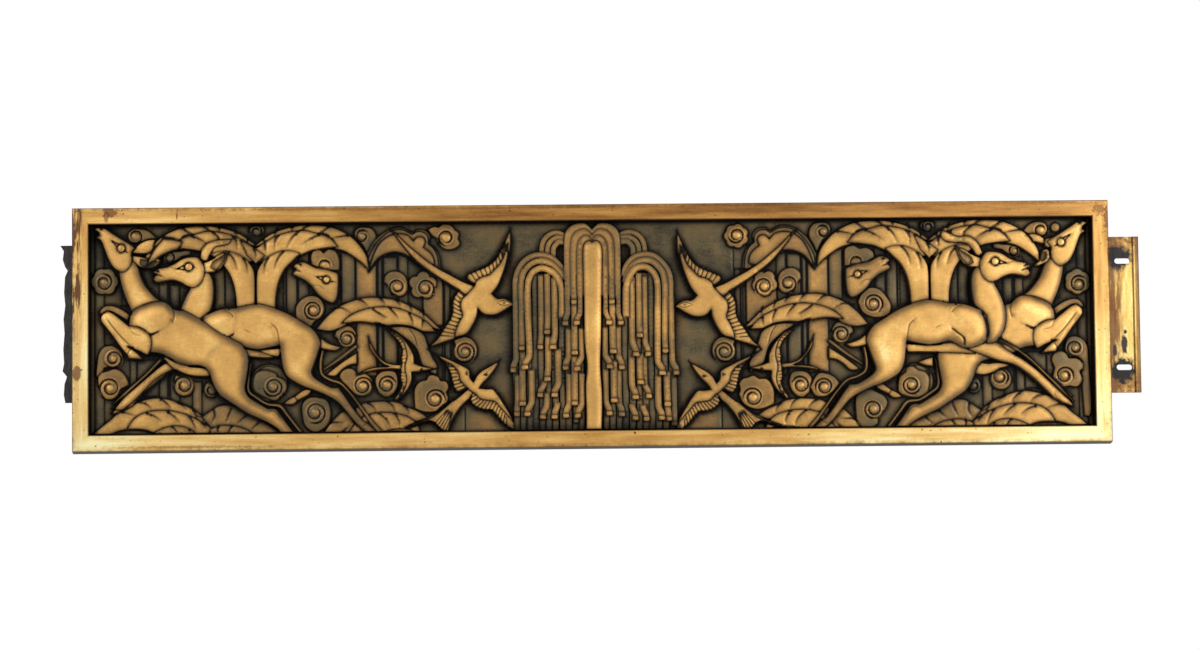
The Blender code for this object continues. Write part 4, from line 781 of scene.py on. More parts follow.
def beaked_bird(put):
    lay(ribbon(put, (-138, -74, 5), (-152, -84.5, 4.5), (-168, -93, 3.6), (-188, -100.5, 2)), BIRD, SOFT, 3,
        gilt=(0.4, 0.56), fade=2, halo=3)
    fan = [(-160, -95), (-156, -99), (-152, -103), (-148, -107)]
    lay(shape(put, [(-186, -99.5), (-172, -95), (-160, -89.5), (-150, -82), (-142, -75), (-134, -69),
                    (-124, -60)], [(-117, -64), (-122, -70), (-130, -77), (-138, -87), (-143, -96),
                                   (-146, -107)], fan[::-1],
              [(-165, -93.5), (-186, -99.5)]), BIRD, SOFT, gilt=(0.42, 0.6), fade=3, halo=3.5)
    ribs(put, fan, [(-147, -82), (-144, -82), (-142, -83), (-140, -86)], 5, 1.6, 0.1, 0.9)
    upper = [(-155, -29.5), (-150, -35), (-146, -40), (-143, -47), (-141.5, -55), (-139, -62),
             (-134.5, -66)]
    lay(shape(put, [(-166, -21.5), (-158, -26), (-150, -29.5), (-142, -33), (-134, -37), (-128, -40),
                    (-124, -43)],
              [(-123, -50), (-120, -56), (-122, -62)], [(-128, -63), (-134.5, -66)], upper[::-1],
              [(-166, -21.5)]), BIRD, SOFT, gilt=(0.42, 0.6), fade=3, halo=3.5)
    ribs(put, upper, [(-148, -33), (-141, -38), (-136, -44), (-134.5, -52), (-130, -58), (-125, -61)],
         10, 1.9, 0.12, 0.95)
    lower = [(-122, -68), (-123.5, -74), (-118, -80), (-110, -83), (-102, -84), (-97, -89), (-91, -96),
             (-84, -102)]
    lay(shape(put, [(-114, -61), (-107, -62), (-101, -62), (-95, -69), (-90, -77), (-84, -87),
                    (-79, -97), (-75.5, -106)], lower[::-1], [(-114, -61)]), BIRD, SOFT,
        gilt=(0.42, 0.6), fade=3, halo=3.5)
    ribs(put, lower, [(-119, -66), (-117, -70), (-112, -73.5), (-106, -74), (-100, -74), (-96, -79),
                      (-90, -86), (-85, -93)], 13, 1.9, 0.06, 0.92)
    lay(shape(put, [(-166, -21.5), (-158, -26), (-150, -29.5), (-142, -33), (-134, -37), (-128, -40),
                    (-124, -43), (-123, -51), (-120, -55)],
              [(-117, -49), (-112, -44), (-105, -40), (-98, -36), (-92.5, -32)],
              [(-98, -42), (-105, -51), (-111, -57), (-114, -61)],
              [(-107, -62), (-101, -62), (-95, -69), (-90, -77), (-84, -87), (-79, -97)],
              [(-86, -89), (-93, -81), (-99, -74.5), (-106, -73.5), (-113, -72), (-118, -67)],
              [(-124, -63), (-129, -58), (-133, -53), (-134.5, -46), (-140, -38.5), (-150, -33),
               (-166, -21.5)]), BIRD + SOFT, SOFT, rounding=8, gilt=(0.5, 0.7), fade=4, halo=1.2)
    cut(put, [(-128.5, -46.5), (-127.5, -46.5)], 3.6, 0.0012, 1.0)
    cut(put, [(-108.5, -48), (-107.5, -48)], 3.2, 0.0010, 1.0)
    cut(put, [(-111, -49), (-106, -45), (-100, -40)], 1.6, 0.0008, 0.6)


for put in (left, right_by(3.5, -3.5)):
    great_swallow(put)
for put in (left, right_by(-3.5, -2)):
    small_swallow(put)
for put in (left, right_by(3, -3.5)):
    beaked_bird(put)


# Fountain: a bright column in the middle and ropes of water that fall from
# nested arches on both sides, in lengths that each end in a square knuckle.
# They stand nearly as high as the birds, and their middles are lighter and their
# edges darker, as rubbed wear and painted shading.
WATER = 0.0095


def rope(points, width, gilt, rise=WATER):
    """A rope of water of one width along a line of (x, z) points."""
    stations = [(x, z, width + 0.4) for x, z in points]
    # Lighter along its middle, darker at its edges: rubbed wear and painted shading
    lay(ribbon(left, *stations), rise, SOFT, width / 2, gilt=(gilt * 0.5, gilt * 1.04),
        fade=width * 0.45, line=0.8, halo=0.6, wall=0.7, spine=through(points))


def knuckle(x, z, width, gilt, rise):
    """The square end of a rope, a little higher than the rope itself."""
    # Its middle is painted lighter as a highlight, and the dark round it is a painted shadow
    half = width / 2 + 0.3
    lay(shape(left, [(x - half + 0.3, z + 2.4), (x - half, z), (x - half, z - 2.4)], [(x + half, z - 2.4)],
              [(x + half, z), (x + half - 0.3, z + 2.4)], [(x - half + 0.3, z + 2.4)]),
        rise + SOFT * 0.8, SOFT * 0.4, 2.0, gilt=(gilt * 0.9, min(1.0, gilt * 1.2)), fade=1.8, line=0.85,
        halo=2.2, wall=0.8)


def fall(x, top, foot, bend, width, gilt, rise=WATER):
    """A length of rope that swerves at its foot and ends in a knuckle."""
    points = [(x, top), (x, foot + 15), (x + bend * 0.1, foot + 11), (x + bend * 0.85, foot + 5),
              (x + bend, foot + 2), (x + bend, foot)]
    if top < foot + 22:
        points = points[1:]
    rope(points, width, gilt, rise)
    knuckle(x + bend, foot, width, gilt, rise)


# Strands behind the others, which show in the gaps
for x, top, gilt in ((-77, 30, 0.24), (-70.5, 30, 0.26), (-64, 30, 0.26), (-57.8, 54, 0.14),
                     (-51.5, 54, 0.22), (-45, 54, 0.26), (-38.5, 50, 0.28), (-31.2, 30, 0.16),
                     (-25, 20, 0.26), (-18.5, 20, 0.28), (-12.2, 20, 0.28), (12.2, 20, 0.3),
                     (18.8, 20, 0.32), (25.4, 20, 0.3), (31.7, 40, 0.18), (38.5, 50, 0.3), (45.6, 54, 0.3),
                     (52, 54, 0.26), (58.2, 54, 0.15), (65, 30, 0.3), (72, 30, 0.3), (79, 30, 0.28)):
    rope([(x, top), (x, 0), (x - 0.6, -40), (x + 0.6, -75), (x, -107)], 6.4, gilt, WATER - 2 * SOFT)

# Small arches high up behind the middle ones
for side, shift in ((-1, 0), (1, 2)):
    for wide, high in ((0, 0), (5.6, 5), (11.4, 9.6)):
        rope([(side * x, z) for x, z in (
            (50.5 - wide + shift, 60), (50.5 - wide + shift, 77 - high * 0.3),
            (48.5 - wide * 0.86 + shift, 86 - high * 0.8), (43.5 - wide * 0.6 + shift, 91.5 - high),
            (36 - wide * 0.2 + shift * 0.8, 94 - high), (30, 92.2 - high * 0.8), (25, 88 - high * 0.6))],
            5.6, 0.38 - wide * 0.004, WATER - SOFT)

# Lengths of rope from the foot up: the higher length lies over the lower one. A
# row is the place, the top, the foot, the swerve, the width and the shine.
for length in (
        (-76, -48, -88, -1, 6.0, 0.34), (-71, -26, -77.5, 0, 6.6, 0.42), (-62, -43, -88, -4.5, 6.6, 0.54),
        (-47, -66, -91, -4, 6.4, 0.5), (-36.5, -70, -91, -3, 6.4, 0.5), (-49, -52, -69, -4.5, 6.2, 0.5),
        (-45.2, -10, -53, -1, 6.6, 0.52), (-35.2, -22, -69, -4, 6.8, 0.5),
        (-24.5, -47, -90, -3.5, 6.4, 0.44), (-18, -79, -95, 0, 5.0, 0.3), (-24.5, -2, -42, -3.5, 6.4, 0.42),
        (-18.8, -30, -77.5, 0, 6.8, 0.48), (-11.6, -47, -90, -4.5, 6.4, 0.52),
        (-11.6, -2, -43, -4.5, 6.4, 0.5),
        (80.5, -52, -99, 0, 6.0, 0.28), (73.8, -82, -94, 1, 6.4, 0.5), (73.4, -46, -79, 0.5, 7.0, 0.56),
        (64.5, -50, -93, 3.5, 6.8, 0.54), (49, -74, -94, 3.5, 6.2, 0.52), (51, -30, -71, 4.2, 6.0, 0.5),
        (46.5, -28, -57, 0.5, 6.8, 0.54), (38, -74, -93, 3.5, 6.4, 0.52), (38.3, -30, -72, 3.5, 6.8, 0.52),
        (25, -44, -89, 3, 6.4, 0.46), (25, -1, -42, 3.5, 6.4, 0.44), (20.3, -35, -75, 0, 7.0, 0.56),
        (12, -43, -88, 3.5, 6.4, 0.52), (11.8, -1, -41, 4.5, 6.4, 0.5),
        (-52, 52, -21, -1, 5.8, 0.42), (-38.3, 50, -21, -1.8, 6.8, 0.52), (-45.4, 54, -6, -0.5, 6.4, 0.46),
        (39.3, 50, -29, 3.5, 6.6, 0.52), (52, 50, -29, 3, 6.0, 0.46), (46.2, 54, -10, 0.3, 6.2, 0.48)):
    fall(*length)

# The side arches, the outer one first, each as a line with its swerve and width
ARCH = WATER + 0.0004
for points, bend, width, gilt in (
        (((-27, 52), (-31, 58.5), (-37, 65.5), (-44, 70), (-52, 71.6), (-60, 70.5), (-68, 65.5), (-74, 57),
          (-77, 47), (-77.3, 35), (-77.3, -44)), -3, 6.2, 0.34),
        (((-28, 46), (-32, 53), (-38, 60), (-44, 64), (-51.5, 65.6), (-58, 64.5), (-64, 60.5), (-69, 54),
          (-71.2, 45), (-71.4, 30), (-71.4, -22)), 0, 6.2, 0.42),
        (((-31.5, 8), (-31, 25), (-31.5, 38), (-33.5, 46), (-38, 52.5), (-45, 57), (-52, 58.3), (-59, 55),
          (-63.5, 48), (-65, 38), (-65, 10), (-64, -41)), -4.5, 6.8, 0.58),
        (((31, 48), (33, 57), (37, 64), (44, 69.5), (53, 71.3), (61, 70), (69, 64), (75.5, 55), (78, 45),
          (78, 30), (79, -48)), 4, 6.4, 0.46),
        (((32, 42), (35, 51), (39, 58.5), (45, 63.5), (52, 65.3), (59, 64.5), (65, 60), (70, 53), (72, 44),
          (72, 20), (71.7, -26)), 0.5, 6.4, 0.5),
        (((33, 8), (33, 25), (33.5, 38), (35.5, 45), (39, 52), (43, 57), (49, 59), (54, 58.5), (59, 55.5),
          (63, 50), (65, 42), (64.8, 10), (64.5, -48)), 4.5, 6.8, 0.6)):
    x, foot = points[-1]
    points = list(points[:-1]) + [(x, foot + 14), (x + bend * 0.1, foot + 10.5),
                                  (x + bend * 0.85, foot + 5), (x + bend, foot + 2), (x + bend, foot)]
    rope(points, width, gilt, ARCH)
    knuckle(x + bend, foot, width, gilt, ARCH)

# The nested arches of the middle, each a sheet over the wider one, and the column
def sheet(reach, peak, foot, bend, gilt):
    """A sheet with two lobes at its peak and two legs that swerve at their feet."""
    def side(way):
        top = [(way * reach * share, peak - drop) for share, drop in (
            (0.21, 1), (0.42, 0), (0.72, 2.5), (0.93, 8.5), (1, 18))]
        out = [(way * (reach + bend * share), foot + lift) for share, lift in (
            (0, 13), (0.15, 9), (0.9, 4), (1, 0))]
        inner = [(x - way * 6.4, z) for x, z in out]
        return [(0, peak - 6.5)] + top, out, inner[::-1] + [(way * (reach - 6.4), foot + 26)]

    right_top, right_out, right_in = side(1)
    left_top, left_out, left_in = side(-1)
    # Lighter along its middle, darker at its edges: rubbed wear and painted shading
    lay(shape(left, left_top + left_out, left_in, right_in[::-1], right_out[::-1] + right_top[::-1]),
        SHEET, SOFT * 1.2, 3.4, gilt=(gilt * 0.5, gilt * 1.04), fade=3.0, line=0.85, halo=0.9,
        wall=0.8)
    for way in (-1, 1):
        knuckle(way * (reach - 3.2 + bend), foot, 6.2, gilt, SHEET)


SHEET = WATER + 0.0008
sheet(28.4, 104, 2.5, 2.6, 0.42)
fall(-18.6, 40, -27, 0, 6.6, 0.48, SHEET)
fall(19.3, 40, -26, 0.5, 6.8, 0.5, SHEET)
sheet(22, 97.6, 24, 0, 0.48)
sheet(15.7, 91.4, 3, 3.6, 0.56)
lay(shape(left, [(-8.6, -107), (-8, -90), (-8.6, -60), (-6.8, -40), (-8.8, -20), (-9.2, 50), (-9.2, 76),
                 (-8, 82), (-4, 85.5), (0, 84)],
          [(4.5, 85.5), (8.5, 82), (9.8, 76), (9.5, 50), (8.6, -10), (7.4, -40), (9, -70), (8, -107)],
          [(-8.6, -107)]),
    WATER + SOFT, FULL, 9, gilt=(0.52, 0.74), fade=4, line=1.0, halo=2.0)


# The surface of the relief: rings of points on each motif's edge, wall and foot
# where they show, loose points between them, and a mesh through them all. The
# opening is 1768 by 371 mm, and the ground is 12 mm above the flat back.
OPENING_X = 502.3
OPENING_Z = 105.4
PLATE = 0.012
MARGIN = 1.0
GAP = 2.0
GRID = 2.6
LEAST_GAP = 1.25
LONGEST_EDGE = 2.2 * STEP
BURIED = 0.7
HALO = 1.7
SHADE_REACH = 6.0


def depth_in(path, spots, closed=True):
    """How far each spot lies inside a closed path, or from an open one.

    It also says where along the path the nearest place is, from 0 to 1.
    """
    a, b = (path, np.roll(path, -1, axis=0)) if closed else (path[:-1], path[1:])
    edge = b - a
    size = np.maximum((edge ** 2).sum(1), 1e-12)
    found = np.empty(len(spots))
    place = np.empty(len(spots))
    batch = 4000
    for first in range(0, len(spots), batch):
        some = spots[first:first + batch]
        rest = some[:, None] - a
        share = np.clip((rest * edge).sum(2) / size, 0, 1)
        away = ((rest - share[..., None] * edge) ** 2).sum(2)
        nearest = away.argmin(1)
        depth = np.sqrt(away[np.arange(len(some)), nearest])
        place[first:first + batch] = (nearest + share[np.arange(len(some)), nearest]) / len(a)
        if closed:
            crosses = (a[:, 1] > some[:, 1:2]) != (b[:, 1] > some[:, 1:2])
            slope = edge[:, 0] / np.where(edge[:, 1] == 0, 1e-9, edge[:, 1])
            hits = crosses & (some[:, :1] < a[:, 0] + slope * (some[:, 1:2] - a[:, 1]))
            depth = np.where(hits.sum(1) % 2 == 1, depth, -depth)
        found[first:first + batch] = depth
    return found, place


for motif in motifs:
    if motif["solid"]:
        reach = motif["halo"] * HALO
    else:
        reach = max(motif["width"] / 2, SHADE_REACH)
    motif["low"] = motif["path"].min(0) - reach
    motif["high"] = motif["path"].max(0) + reach


def hidden(spots, layer):
    """Which spots lie well under a motif above this layer."""
    lost = np.zeros(len(spots), bool)
    for motif in motifs[layer + 1:]:
        if motif["solid"] and not lost.all():
            near = np.all((spots > motif["low"]) & (spots < motif["high"]), axis=1) & ~lost
            if near.any():
                lost[near] = depth_in(motif["path"], spots[near])[0] > BURIED
    return lost


places = []
edges = []


def add_ring(ring, layer, closed, joined):
    """Adds what shows of a ring, and the edges between neighbours."""
    shown = ~hidden(ring, layer) & (np.abs(ring[:, 0]) < OPENING_X) & (np.abs(ring[:, 1]) < OPENING_Z)
    keep = shown | (np.roll(shown, 1) | np.roll(shown, -1)) & joined
    keep &= (np.abs(ring[:, 0]) < OPENING_X + 2) & (np.abs(ring[:, 1]) < OPENING_Z + 2)
    number = {}
    for index in np.nonzero(keep)[0]:
        number[index] = len(places)
        places.append(ring[index])
    if joined:
        for index in range(len(ring) if closed else len(ring) - 1):
            after = (index + 1) % len(ring)
            if index in number and after in number and (shown[index] or shown[after]):
                if math.dist(ring[index], ring[after]) < LONGEST_EDGE:
                    edges.append((number[index], number[after]))


plate_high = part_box("relief_panel")[1]
plate_x, plate_z = plate_high[0] / SQUARE, plate_high[2] / SQUARE
corners = [(-plate_x, -plate_z), (plate_x, -plate_z), (plate_x, plate_z), (-plate_x, plate_z)]
places += [np.array(corner) for corner in corners]
edges += [(0, 1), (1, 2), (2, 3), (3, 0)]
for inset in (MARGIN, MARGIN + WALL):
    for sign in (-1, 1):
        along_x = np.linspace(-OPENING_X + inset, OPENING_X - inset, 420)
        along_z = np.linspace(-OPENING_Z + inset, OPENING_Z - inset, 90)
        places += [np.array((x, sign * (OPENING_Z - inset))) for x in along_x]
        places += [np.array((sign * (OPENING_X - inset), z)) for z in along_z]

for layer, motif in enumerate(motifs):
    path = motif["path"]
    if motif["solid"]:
        along = np.roll(path, -1, axis=0) - np.roll(path, 1, axis=0)
        inward = np.column_stack([-along[:, 1], along[:, 0]]) / np.linalg.norm(along, axis=1)[:, None]
        insets = [0.0, motif["wall"]]
        if motif["spine"] is None:
            insets.append(-GAP)
        else:
            add_ring(motif["spine"], layer, False, False)
        for inset in insets:
            ring = path + inset * inward
            if inset:
                depth = depth_in(path, ring)[0]
                ring = ring[depth > 0.85 * inset if inset > 0 else depth < -0.8 * GAP]
            if len(ring) > 2:
                add_ring(ring, layer, True, inset >= 0)
    elif len(path) > 2:
        along = np.gradient(path, axis=0)
        across = np.column_stack([-along[:, 1], along[:, 0]]) / np.linalg.norm(along, axis=1)[:, None]
        add_ring(path, layer, False, True)
        for side in (-0.55, 0.55):
            add_ring(path + side * motif["width"] * across, layer, False, False)
    else:
        add_ring(disc(path[0][0], path[0][1], motif["width"] / 2), layer, True, False)

# Loose places on a grid between the rings
laid = KDTree(len(places))
for index, place in enumerate(places):
    laid.insert((place[0], place[1], 0), index)
laid.balance()
row_height = GRID * 0.866
for row in range(int(2 * plate_z / row_height)):
    z = -plate_z + (row + 0.5) * row_height
    for column in range(int(2 * plate_x / GRID)):
        x = -plate_x + (column + 0.25 + 0.5 * (row % 2)) * GRID
        if laid.find((x, z, 0))[2] > LEAST_GAP:
            places.append(np.array((x, z)))

flat, _, faces, _, _, _ = delaunay_2d_cdt([Vector(place) for place in places], edges, [], 0, 0.15)
flat = np.array([tuple(place) for place in flat])

# Each motif in turn sets the height, the gilding and the dirt with painted shade
# where it lies. Dirt and painted shade are darkest against a wall as high as TALL,
# and black within a LINE of it. The ground itself is a little brighter towards its
# foot.
TALL = 0.0085
LINE = 2.6
height = np.zeros(len(flat))
gilt = 0.17 + 0.07 * np.clip((-50 - flat[:, 1]) / 30, 0, 1)
dark = np.zeros(len(flat))
for motif in motifs:
    near = np.nonzero(np.all((flat > motif["low"]) & (flat < motif["high"]), axis=1))[0]
    if not len(near):
        continue
    depth, along = depth_in(motif["path"], flat[near], motif["solid"])
    if motif["solid"]:
        # Dirt and painted shade on the ground against its wall, deepest where the wall is tall
        outside = np.clip(1 + depth / (motif["halo"] * HALO), 0, 1) ** 1.5
        drop = np.clip(((motif["rise"] or 0) - height[near]) / TALL, 0.12, 1)
        close = np.clip(1.5 * (1 + depth / min(LINE, motif["halo"] * HALO)), 0, 1)
        dirt_and_shade = motif["line"] * np.maximum(outside * drop, close) * (depth <= 0)
        dark[near] = np.maximum(dark[near], dirt_and_shade)
        near, depth = near[depth > 0], depth[depth > 0]
        round_in = np.clip(depth / motif["rounding"], 0, 1)
        toward = np.clip(depth / motif["fade"], 0, 1)
        toward = toward * toward * (3 - 2 * toward)
        at_edge = motif["line"] * (1 - toward) ** 2
        # A swell alone: its middle is painted a little lighter and its edge darker, as shading
        if motif["rise"] is None:
            height[near] += motif["swell"] * round_in ** 1.5
            gilt[near] *= 1 + 0.05 * toward
            dark[near] = np.maximum(dark[near], 0.4 * at_edge)
        else:
            # Its tone runs from edge to middle as rubbed wear with painted shading, and its edge is
            # darkened with dirt and painted shade
            cover = np.clip(depth / motif["wall"], 0, 1)
            top = motif["rise"] + motif["swell"] * np.sqrt(1 - (1 - round_in) ** 2)
            tone = motif["gilt"][0] + (motif["gilt"][1] - motif["gilt"][0]) * toward
            height[near] += (top - height[near]) * cover
            gilt[near] += (tone - gilt[near]) * cover
            dark[near] = np.maximum(motif["line"] * (1 - cover), 0.48 * at_edge)
    else:
        if motif["shade"]:
            ahead = motif["path"][-1] - motif["path"][0]
            rest = flat[near] - motif["path"][0]
            under = (ahead[0] * rest[:, 1] - ahead[1] * rest[:, 0]) * math.copysign(1, ahead[0]) < 0
            under &= (along > 0.02) & (along < 0.98)
            gilt[near] *= 1 - under * motif["shade"] * np.clip(1 - depth / SHADE_REACH, 0, 1)
        if motif["wedge"]:
            taper = np.clip(1.1 - 0.85 * along, 0, 1)
        elif len(motif["path"]) > 2:
            taper = np.clip(5 * np.minimum(along, 1 - along) + 0.35, 0, 1)
        else:
            taper = 1.0
        share = np.clip(1 - depth / (motif["width"] / 2 * taper), 0, 1)
        height[near] -= motif["depth"] * share
        if motif["tone"] is None:
            # The groove is darkened with dirt and painted shade
            dirt_and_shade = motif["dark"] * np.clip(3.2 * share, 0, 1) * np.clip(1.5 * taper, 0, 1)
            dark[near] = np.maximum(dark[near], dirt_and_shade)
        else:
            ridge = np.clip(2 * share, 0, 1)
            gilt[near] += (motif["tone"] - gilt[near]) * ridge
            dark[near] *= 1 - ridge

# A painted shadow darkens the fountain's foot but for the column, and the rim of the opening
from_middle = np.abs(flat[:, 0])
shadow = np.clip((-88 - flat[:, 1]) / 14, 0, 1) * (from_middle < 86) * (from_middle > 8)
dark = 1 - (1 - dark) * (1 - 0.8 * shadow)
rim = np.minimum(OPENING_X - np.abs(flat[:, 0]), OPENING_Z - np.abs(flat[:, 1]))
height = np.clip(height, -0.002, None) * np.clip((rim - MARGIN) / WALL, 0, 1)
dark = np.maximum(dark, np.clip(1 - (rim - 1.5) / 2.5, 0, 1))


def spread_out(grid, reach):
    """The mean of a grid of heights over a square window."""
    for axis in (0, 1):
        padding = [(reach + 1, reach) if axis == side else (0, 0) for side in (0, 1)]
        total = np.cumsum(np.pad(grid, padding, mode="edge"), axis=axis)
        size = total.shape[axis]
        grid = (np.take(total, range(2 * reach + 1, size), axis)
                - np.take(total, range(0, size - 2 * reach - 1), axis)) / (2 * reach + 1)
    return grid


# Old dirt and painted shade lie where a place is lower than the mean round it,
# which is taken on a grid of two squares: the more from FIRST_DIRT_AND_SHADE on, and full
# after FULL_DIRT_AND_SHADE more
FIRST_DIRT_AND_SHADE = 0.0003
FULL_DIRT_AND_SHADE = 0.0042
cell = np.clip(((flat + (plate_x, plate_z)) / 2).astype(int), 0, None)
size = cell.max(0) + 1
total, hits = np.zeros(size), np.zeros(size)
np.add.at(total, tuple(cell.T), height)
np.add.at(hits, tuple(cell.T), 1)
total, hits = spread_out(total, 1), spread_out(hits, 1)
mean = total / np.maximum(hits, 1e-9)
cavity = 0
for reach, weight in ((2, 0.6), (6, 0.6)):
    around = spread_out(mean, reach)[tuple(cell.T)]
    cavity = cavity + weight * np.clip((around - height - FIRST_DIRT_AND_SHADE) / FULL_DIRT_AND_SHADE, 0, 1)
dark = 1 - (1 - dark) * (1 - 0.85 * np.clip(cavity, 0, 1))

# The mesh: the front as worked out above, the four rims and one flat back
front = np.column_stack([flat[:, 0] * SQUARE, -PLATE - height, flat[:, 1] * SQUARE])
count = len(front)
off_rim = np.minimum(np.abs(from_middle - plate_x), np.abs(np.abs(flat[:, 1]) - plate_z))
rim_order = [index for index in range(count) if off_rim[index] < 1e-4]
rim_order.sort(key=lambda index: math.atan2(flat[index, 1] / plate_z, flat[index, 0] / plate_x))
back = front[rim_order] * (1, 0, 1)
vertices = np.vstack([front, back])
rim_faces = []
for place, index in enumerate(rim_order):
    following = (place + 1) % len(rim_order)
    rim_faces.append((index, rim_order[following], count + following, count + place))
back_face = tuple(range(count, count + len(rim_order)))
relief_mesh = bpy.data.meshes.new("relief")
relief_mesh.from_pydata(vertices.tolist(), [], [tuple(face) for face in faces] + rim_faces + [back_face])
for name, values in (("gilt", gilt), ("dark", dark)):
    layer = relief_mesh.attributes.new(name, "FLOAT", "POINT")
    layer.data.foreach_set("value", np.concatenate([values, np.full(len(rim_order), 0.1)]))
relief_mesh.validate()
relief_mesh.shade_smooth()
relief_mesh.set_sharp_from_angle(angle=math.radians(50))
relief = bpy.data.objects.new("relief", relief_mesh)
bpy.context.scene.collection.objects.link(relief)


def colour(red, green, blue):
    """A colour given as it looks in the picture, 0 to 255."""
    return (*[((level / 255 + 0.055) / 1.055) ** 2.4 if level > 10 else level / 255 / 12.92
              for level in (red, green, blue)], 1.0)


def plug(tree, made, inputs):
    """Gives a node's inputs their values or links."""
    for key, value in inputs.items():
        if isinstance(value, bpy.types.NodeSocket):
            tree.links.new(value, made.inputs[key])
        else:
            made.inputs[key].default_value = value


def node(tree, kind, inputs, **settings):
    """A shader node with its inputs and its settings."""
    made = tree.nodes.new("ShaderNode" + kind)
    for name, value in settings.items():
        setattr(made, name, value)
    plug(tree, made, inputs)
    return made


def add_ramp(tree, value, stops):
    """Colours for a value, each stop a place from 0 to 1 and its colour."""
    made = node(tree, "ValToRGB", {"Fac": value})
    for index, (place, tone) in enumerate(stops):
        if index > 1:
            made.color_ramp.elements.new(place)
        made.color_ramp.elements[index].position = place
        made.color_ramp.elements[index].color = tone
    return made.outputs["Color"]


def add_noise(tree, where, scale, detail=3.0, stretch=(1, 1, 1), rough=0.55):
    """Cloudy noise on the piece's own coordinates; a low stretch draws it out."""
    mapped = node(tree, "Mapping", {"Vector": where, "Scale": stretch}).outputs["Vector"]
    return node(tree, "TexNoise", {"Vector": mapped, "Scale": scale, "Detail": detail,
                                   "Roughness": rough}).outputs["Fac"]


def math_of(tree, operation, first, second, clamp=False):
    return node(tree, "Math", {0: first, 1: second}, operation=operation, use_clamp=clamp).outputs[0]


def times(tree, first, second, clamp=False):
    return math_of(tree, "MULTIPLY", first, second, clamp)


def combine(tree, first, *steps):
    """Chains sums: each step is an operation and its second value."""
    for operation, second in zip(steps[::2], steps[1::2]):
        first = math_of(tree, operation, first, second)
    return first


def mix_of(tree, share, first, second):
    return node(tree, "Mix", {0: share, 6: first, 7: second}, data_type="RGBA").outputs[2]


def new_material(name):
    """A material's tree and shader, and the piece's own coordinates in it."""
    material = bpy.data.materials.new(name)
    material.use_nodes = True
    tree = material.node_tree
    where = node(tree, "TexCoord", {}).outputs["Object"]
    return material, tree, tree.nodes["Principled BSDF"], where


def bump_of(tree, strength, distance, height):
    inputs = {"Strength": strength, "Distance": distance, "Height": height}
    return node(tree, "Bump", inputs).outputs["Normal"]


# Its metal: the ramp runs from toned brown to rubbed gilt with the gilding, which
# noise breaks up, and near black grime with painted shade lies where it is dark.
material, tree, shader, where = new_material("relief_bronze")
fine = add_noise(tree, where, 240, 3, rough=0.7)
mottle = combine(tree, add_noise(tree, where, 26, 4), "MULTIPLY", 0.4,
                 "ADD", times(tree, fine, 0.26),
                 "ADD", times(tree, add_noise(tree, where, 60, 3, (1, 1, 9)), 0.14),
                 "ADD", times(tree, add_noise(tree, where, 11, 3), 0.62))
tone = math_of(tree, "ADD", node(tree, "Attribute", {}, attribute_name="gilt").outputs["Fac"],
               math_of(tree, "SUBTRACT", mottle, 0.705))
metal = add_ramp(tree, tone, (
    (0.0, colour(46, 39, 28)), (0.16, colour(98, 85, 56)), (0.32, colour(124, 98, 57)),
    (0.46, colour(158, 118, 64)), (0.62, colour(194, 147, 77)), (0.8, colour(222, 171, 93)),
    (0.92, colour(240, 196, 114)), (1.0, colour(250, 222, 150))))
grime_and_shade = times(tree, node(tree, "Attribute", {}, attribute_name="dark").outputs["Fac"],
              combine(tree, fine, "MULTIPLY", 0.5, "ADD", 0.78), True)
plug(tree, shader, {
    "Base Color": mix_of(tree, grime_and_shade, metal, colour(9, 7, 6)),
    "Metallic": times(tree, math_of(tree, "SUBTRACT", 1.0, grime_and_shade), 0.45),
    "Roughness": math_of(tree, "ADD", times(tree, fine, 0.2),
                         combine(tree, grime_and_shade, "MULTIPLY", 0.3, "ADD", 0.34)),
    "Specular IOR Level": math_of(tree, "SUBTRACT", 0.5, times(tree, grime_and_shade, 0.4)),
    "Normal": bump_of(tree, 0.5, 0.0008, mottle)})
relief_mesh.materials.append(material)
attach(relief, "root")
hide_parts("relief_panel")

# The frame: one flat gilded casting round the panel, with mitred corners. It is
# paler at the foot and the ends, with a painted highlight at the lower right, and
# browner along the top. Its faces are filed lengthwise, its edges are rubbed bright
# and its sides are dark with dirt and painted shade.
def ranged(tree, value, start, end, low=0.0, high=1.0):
    """Goes from low to high as the value goes from start to end, and stays there."""
    return node(tree, "MapRange", {"Value": value, "From Min": start, "From Max": end,
                                   "To Min": low, "To Max": high}).outputs[0]


def spot(tree, where, x, z, wide, high, ragged, wobble=0.8, soft=4.0):
    """1 inside a ragged oval, 0 outside it."""
    near = node(tree, "Mapping", {"Vector": where, "Location": (-x / wide, 0, -z / high),
                                  "Scale": (1 / wide, 0, 1 / high)}).outputs["Vector"]
    away = node(tree, "VectorMath", {0: near}, operation="LENGTH").outputs["Value"]
    wave = combine(tree, ragged, "SUBTRACT", 0.5, "MULTIPLY", wobble)
    inside = combine(tree, away, "ADD", wave, "MULTIPLY", -1.0, "ADD", 1.1)
    return times(tree, inside, soft, True)


def side_dirt_and_shade(tree, metal, dirt_and_shade):
    """Toned metal on the front, and dark dirt with painted shade on the sides and the back."""
    normal = node(tree, "TexCoord", {}).outputs["Normal"]
    facing = node(tree, "SeparateXYZ", {"Vector": normal}).outputs["Y"]
    front = combine(tree, facing, "MULTIPLY", -3.0, "SUBTRACT", 1.6)
    return mix_of(tree, node(tree, "Clamp", {"Value": front}).outputs[0], dirt_and_shade, metal)


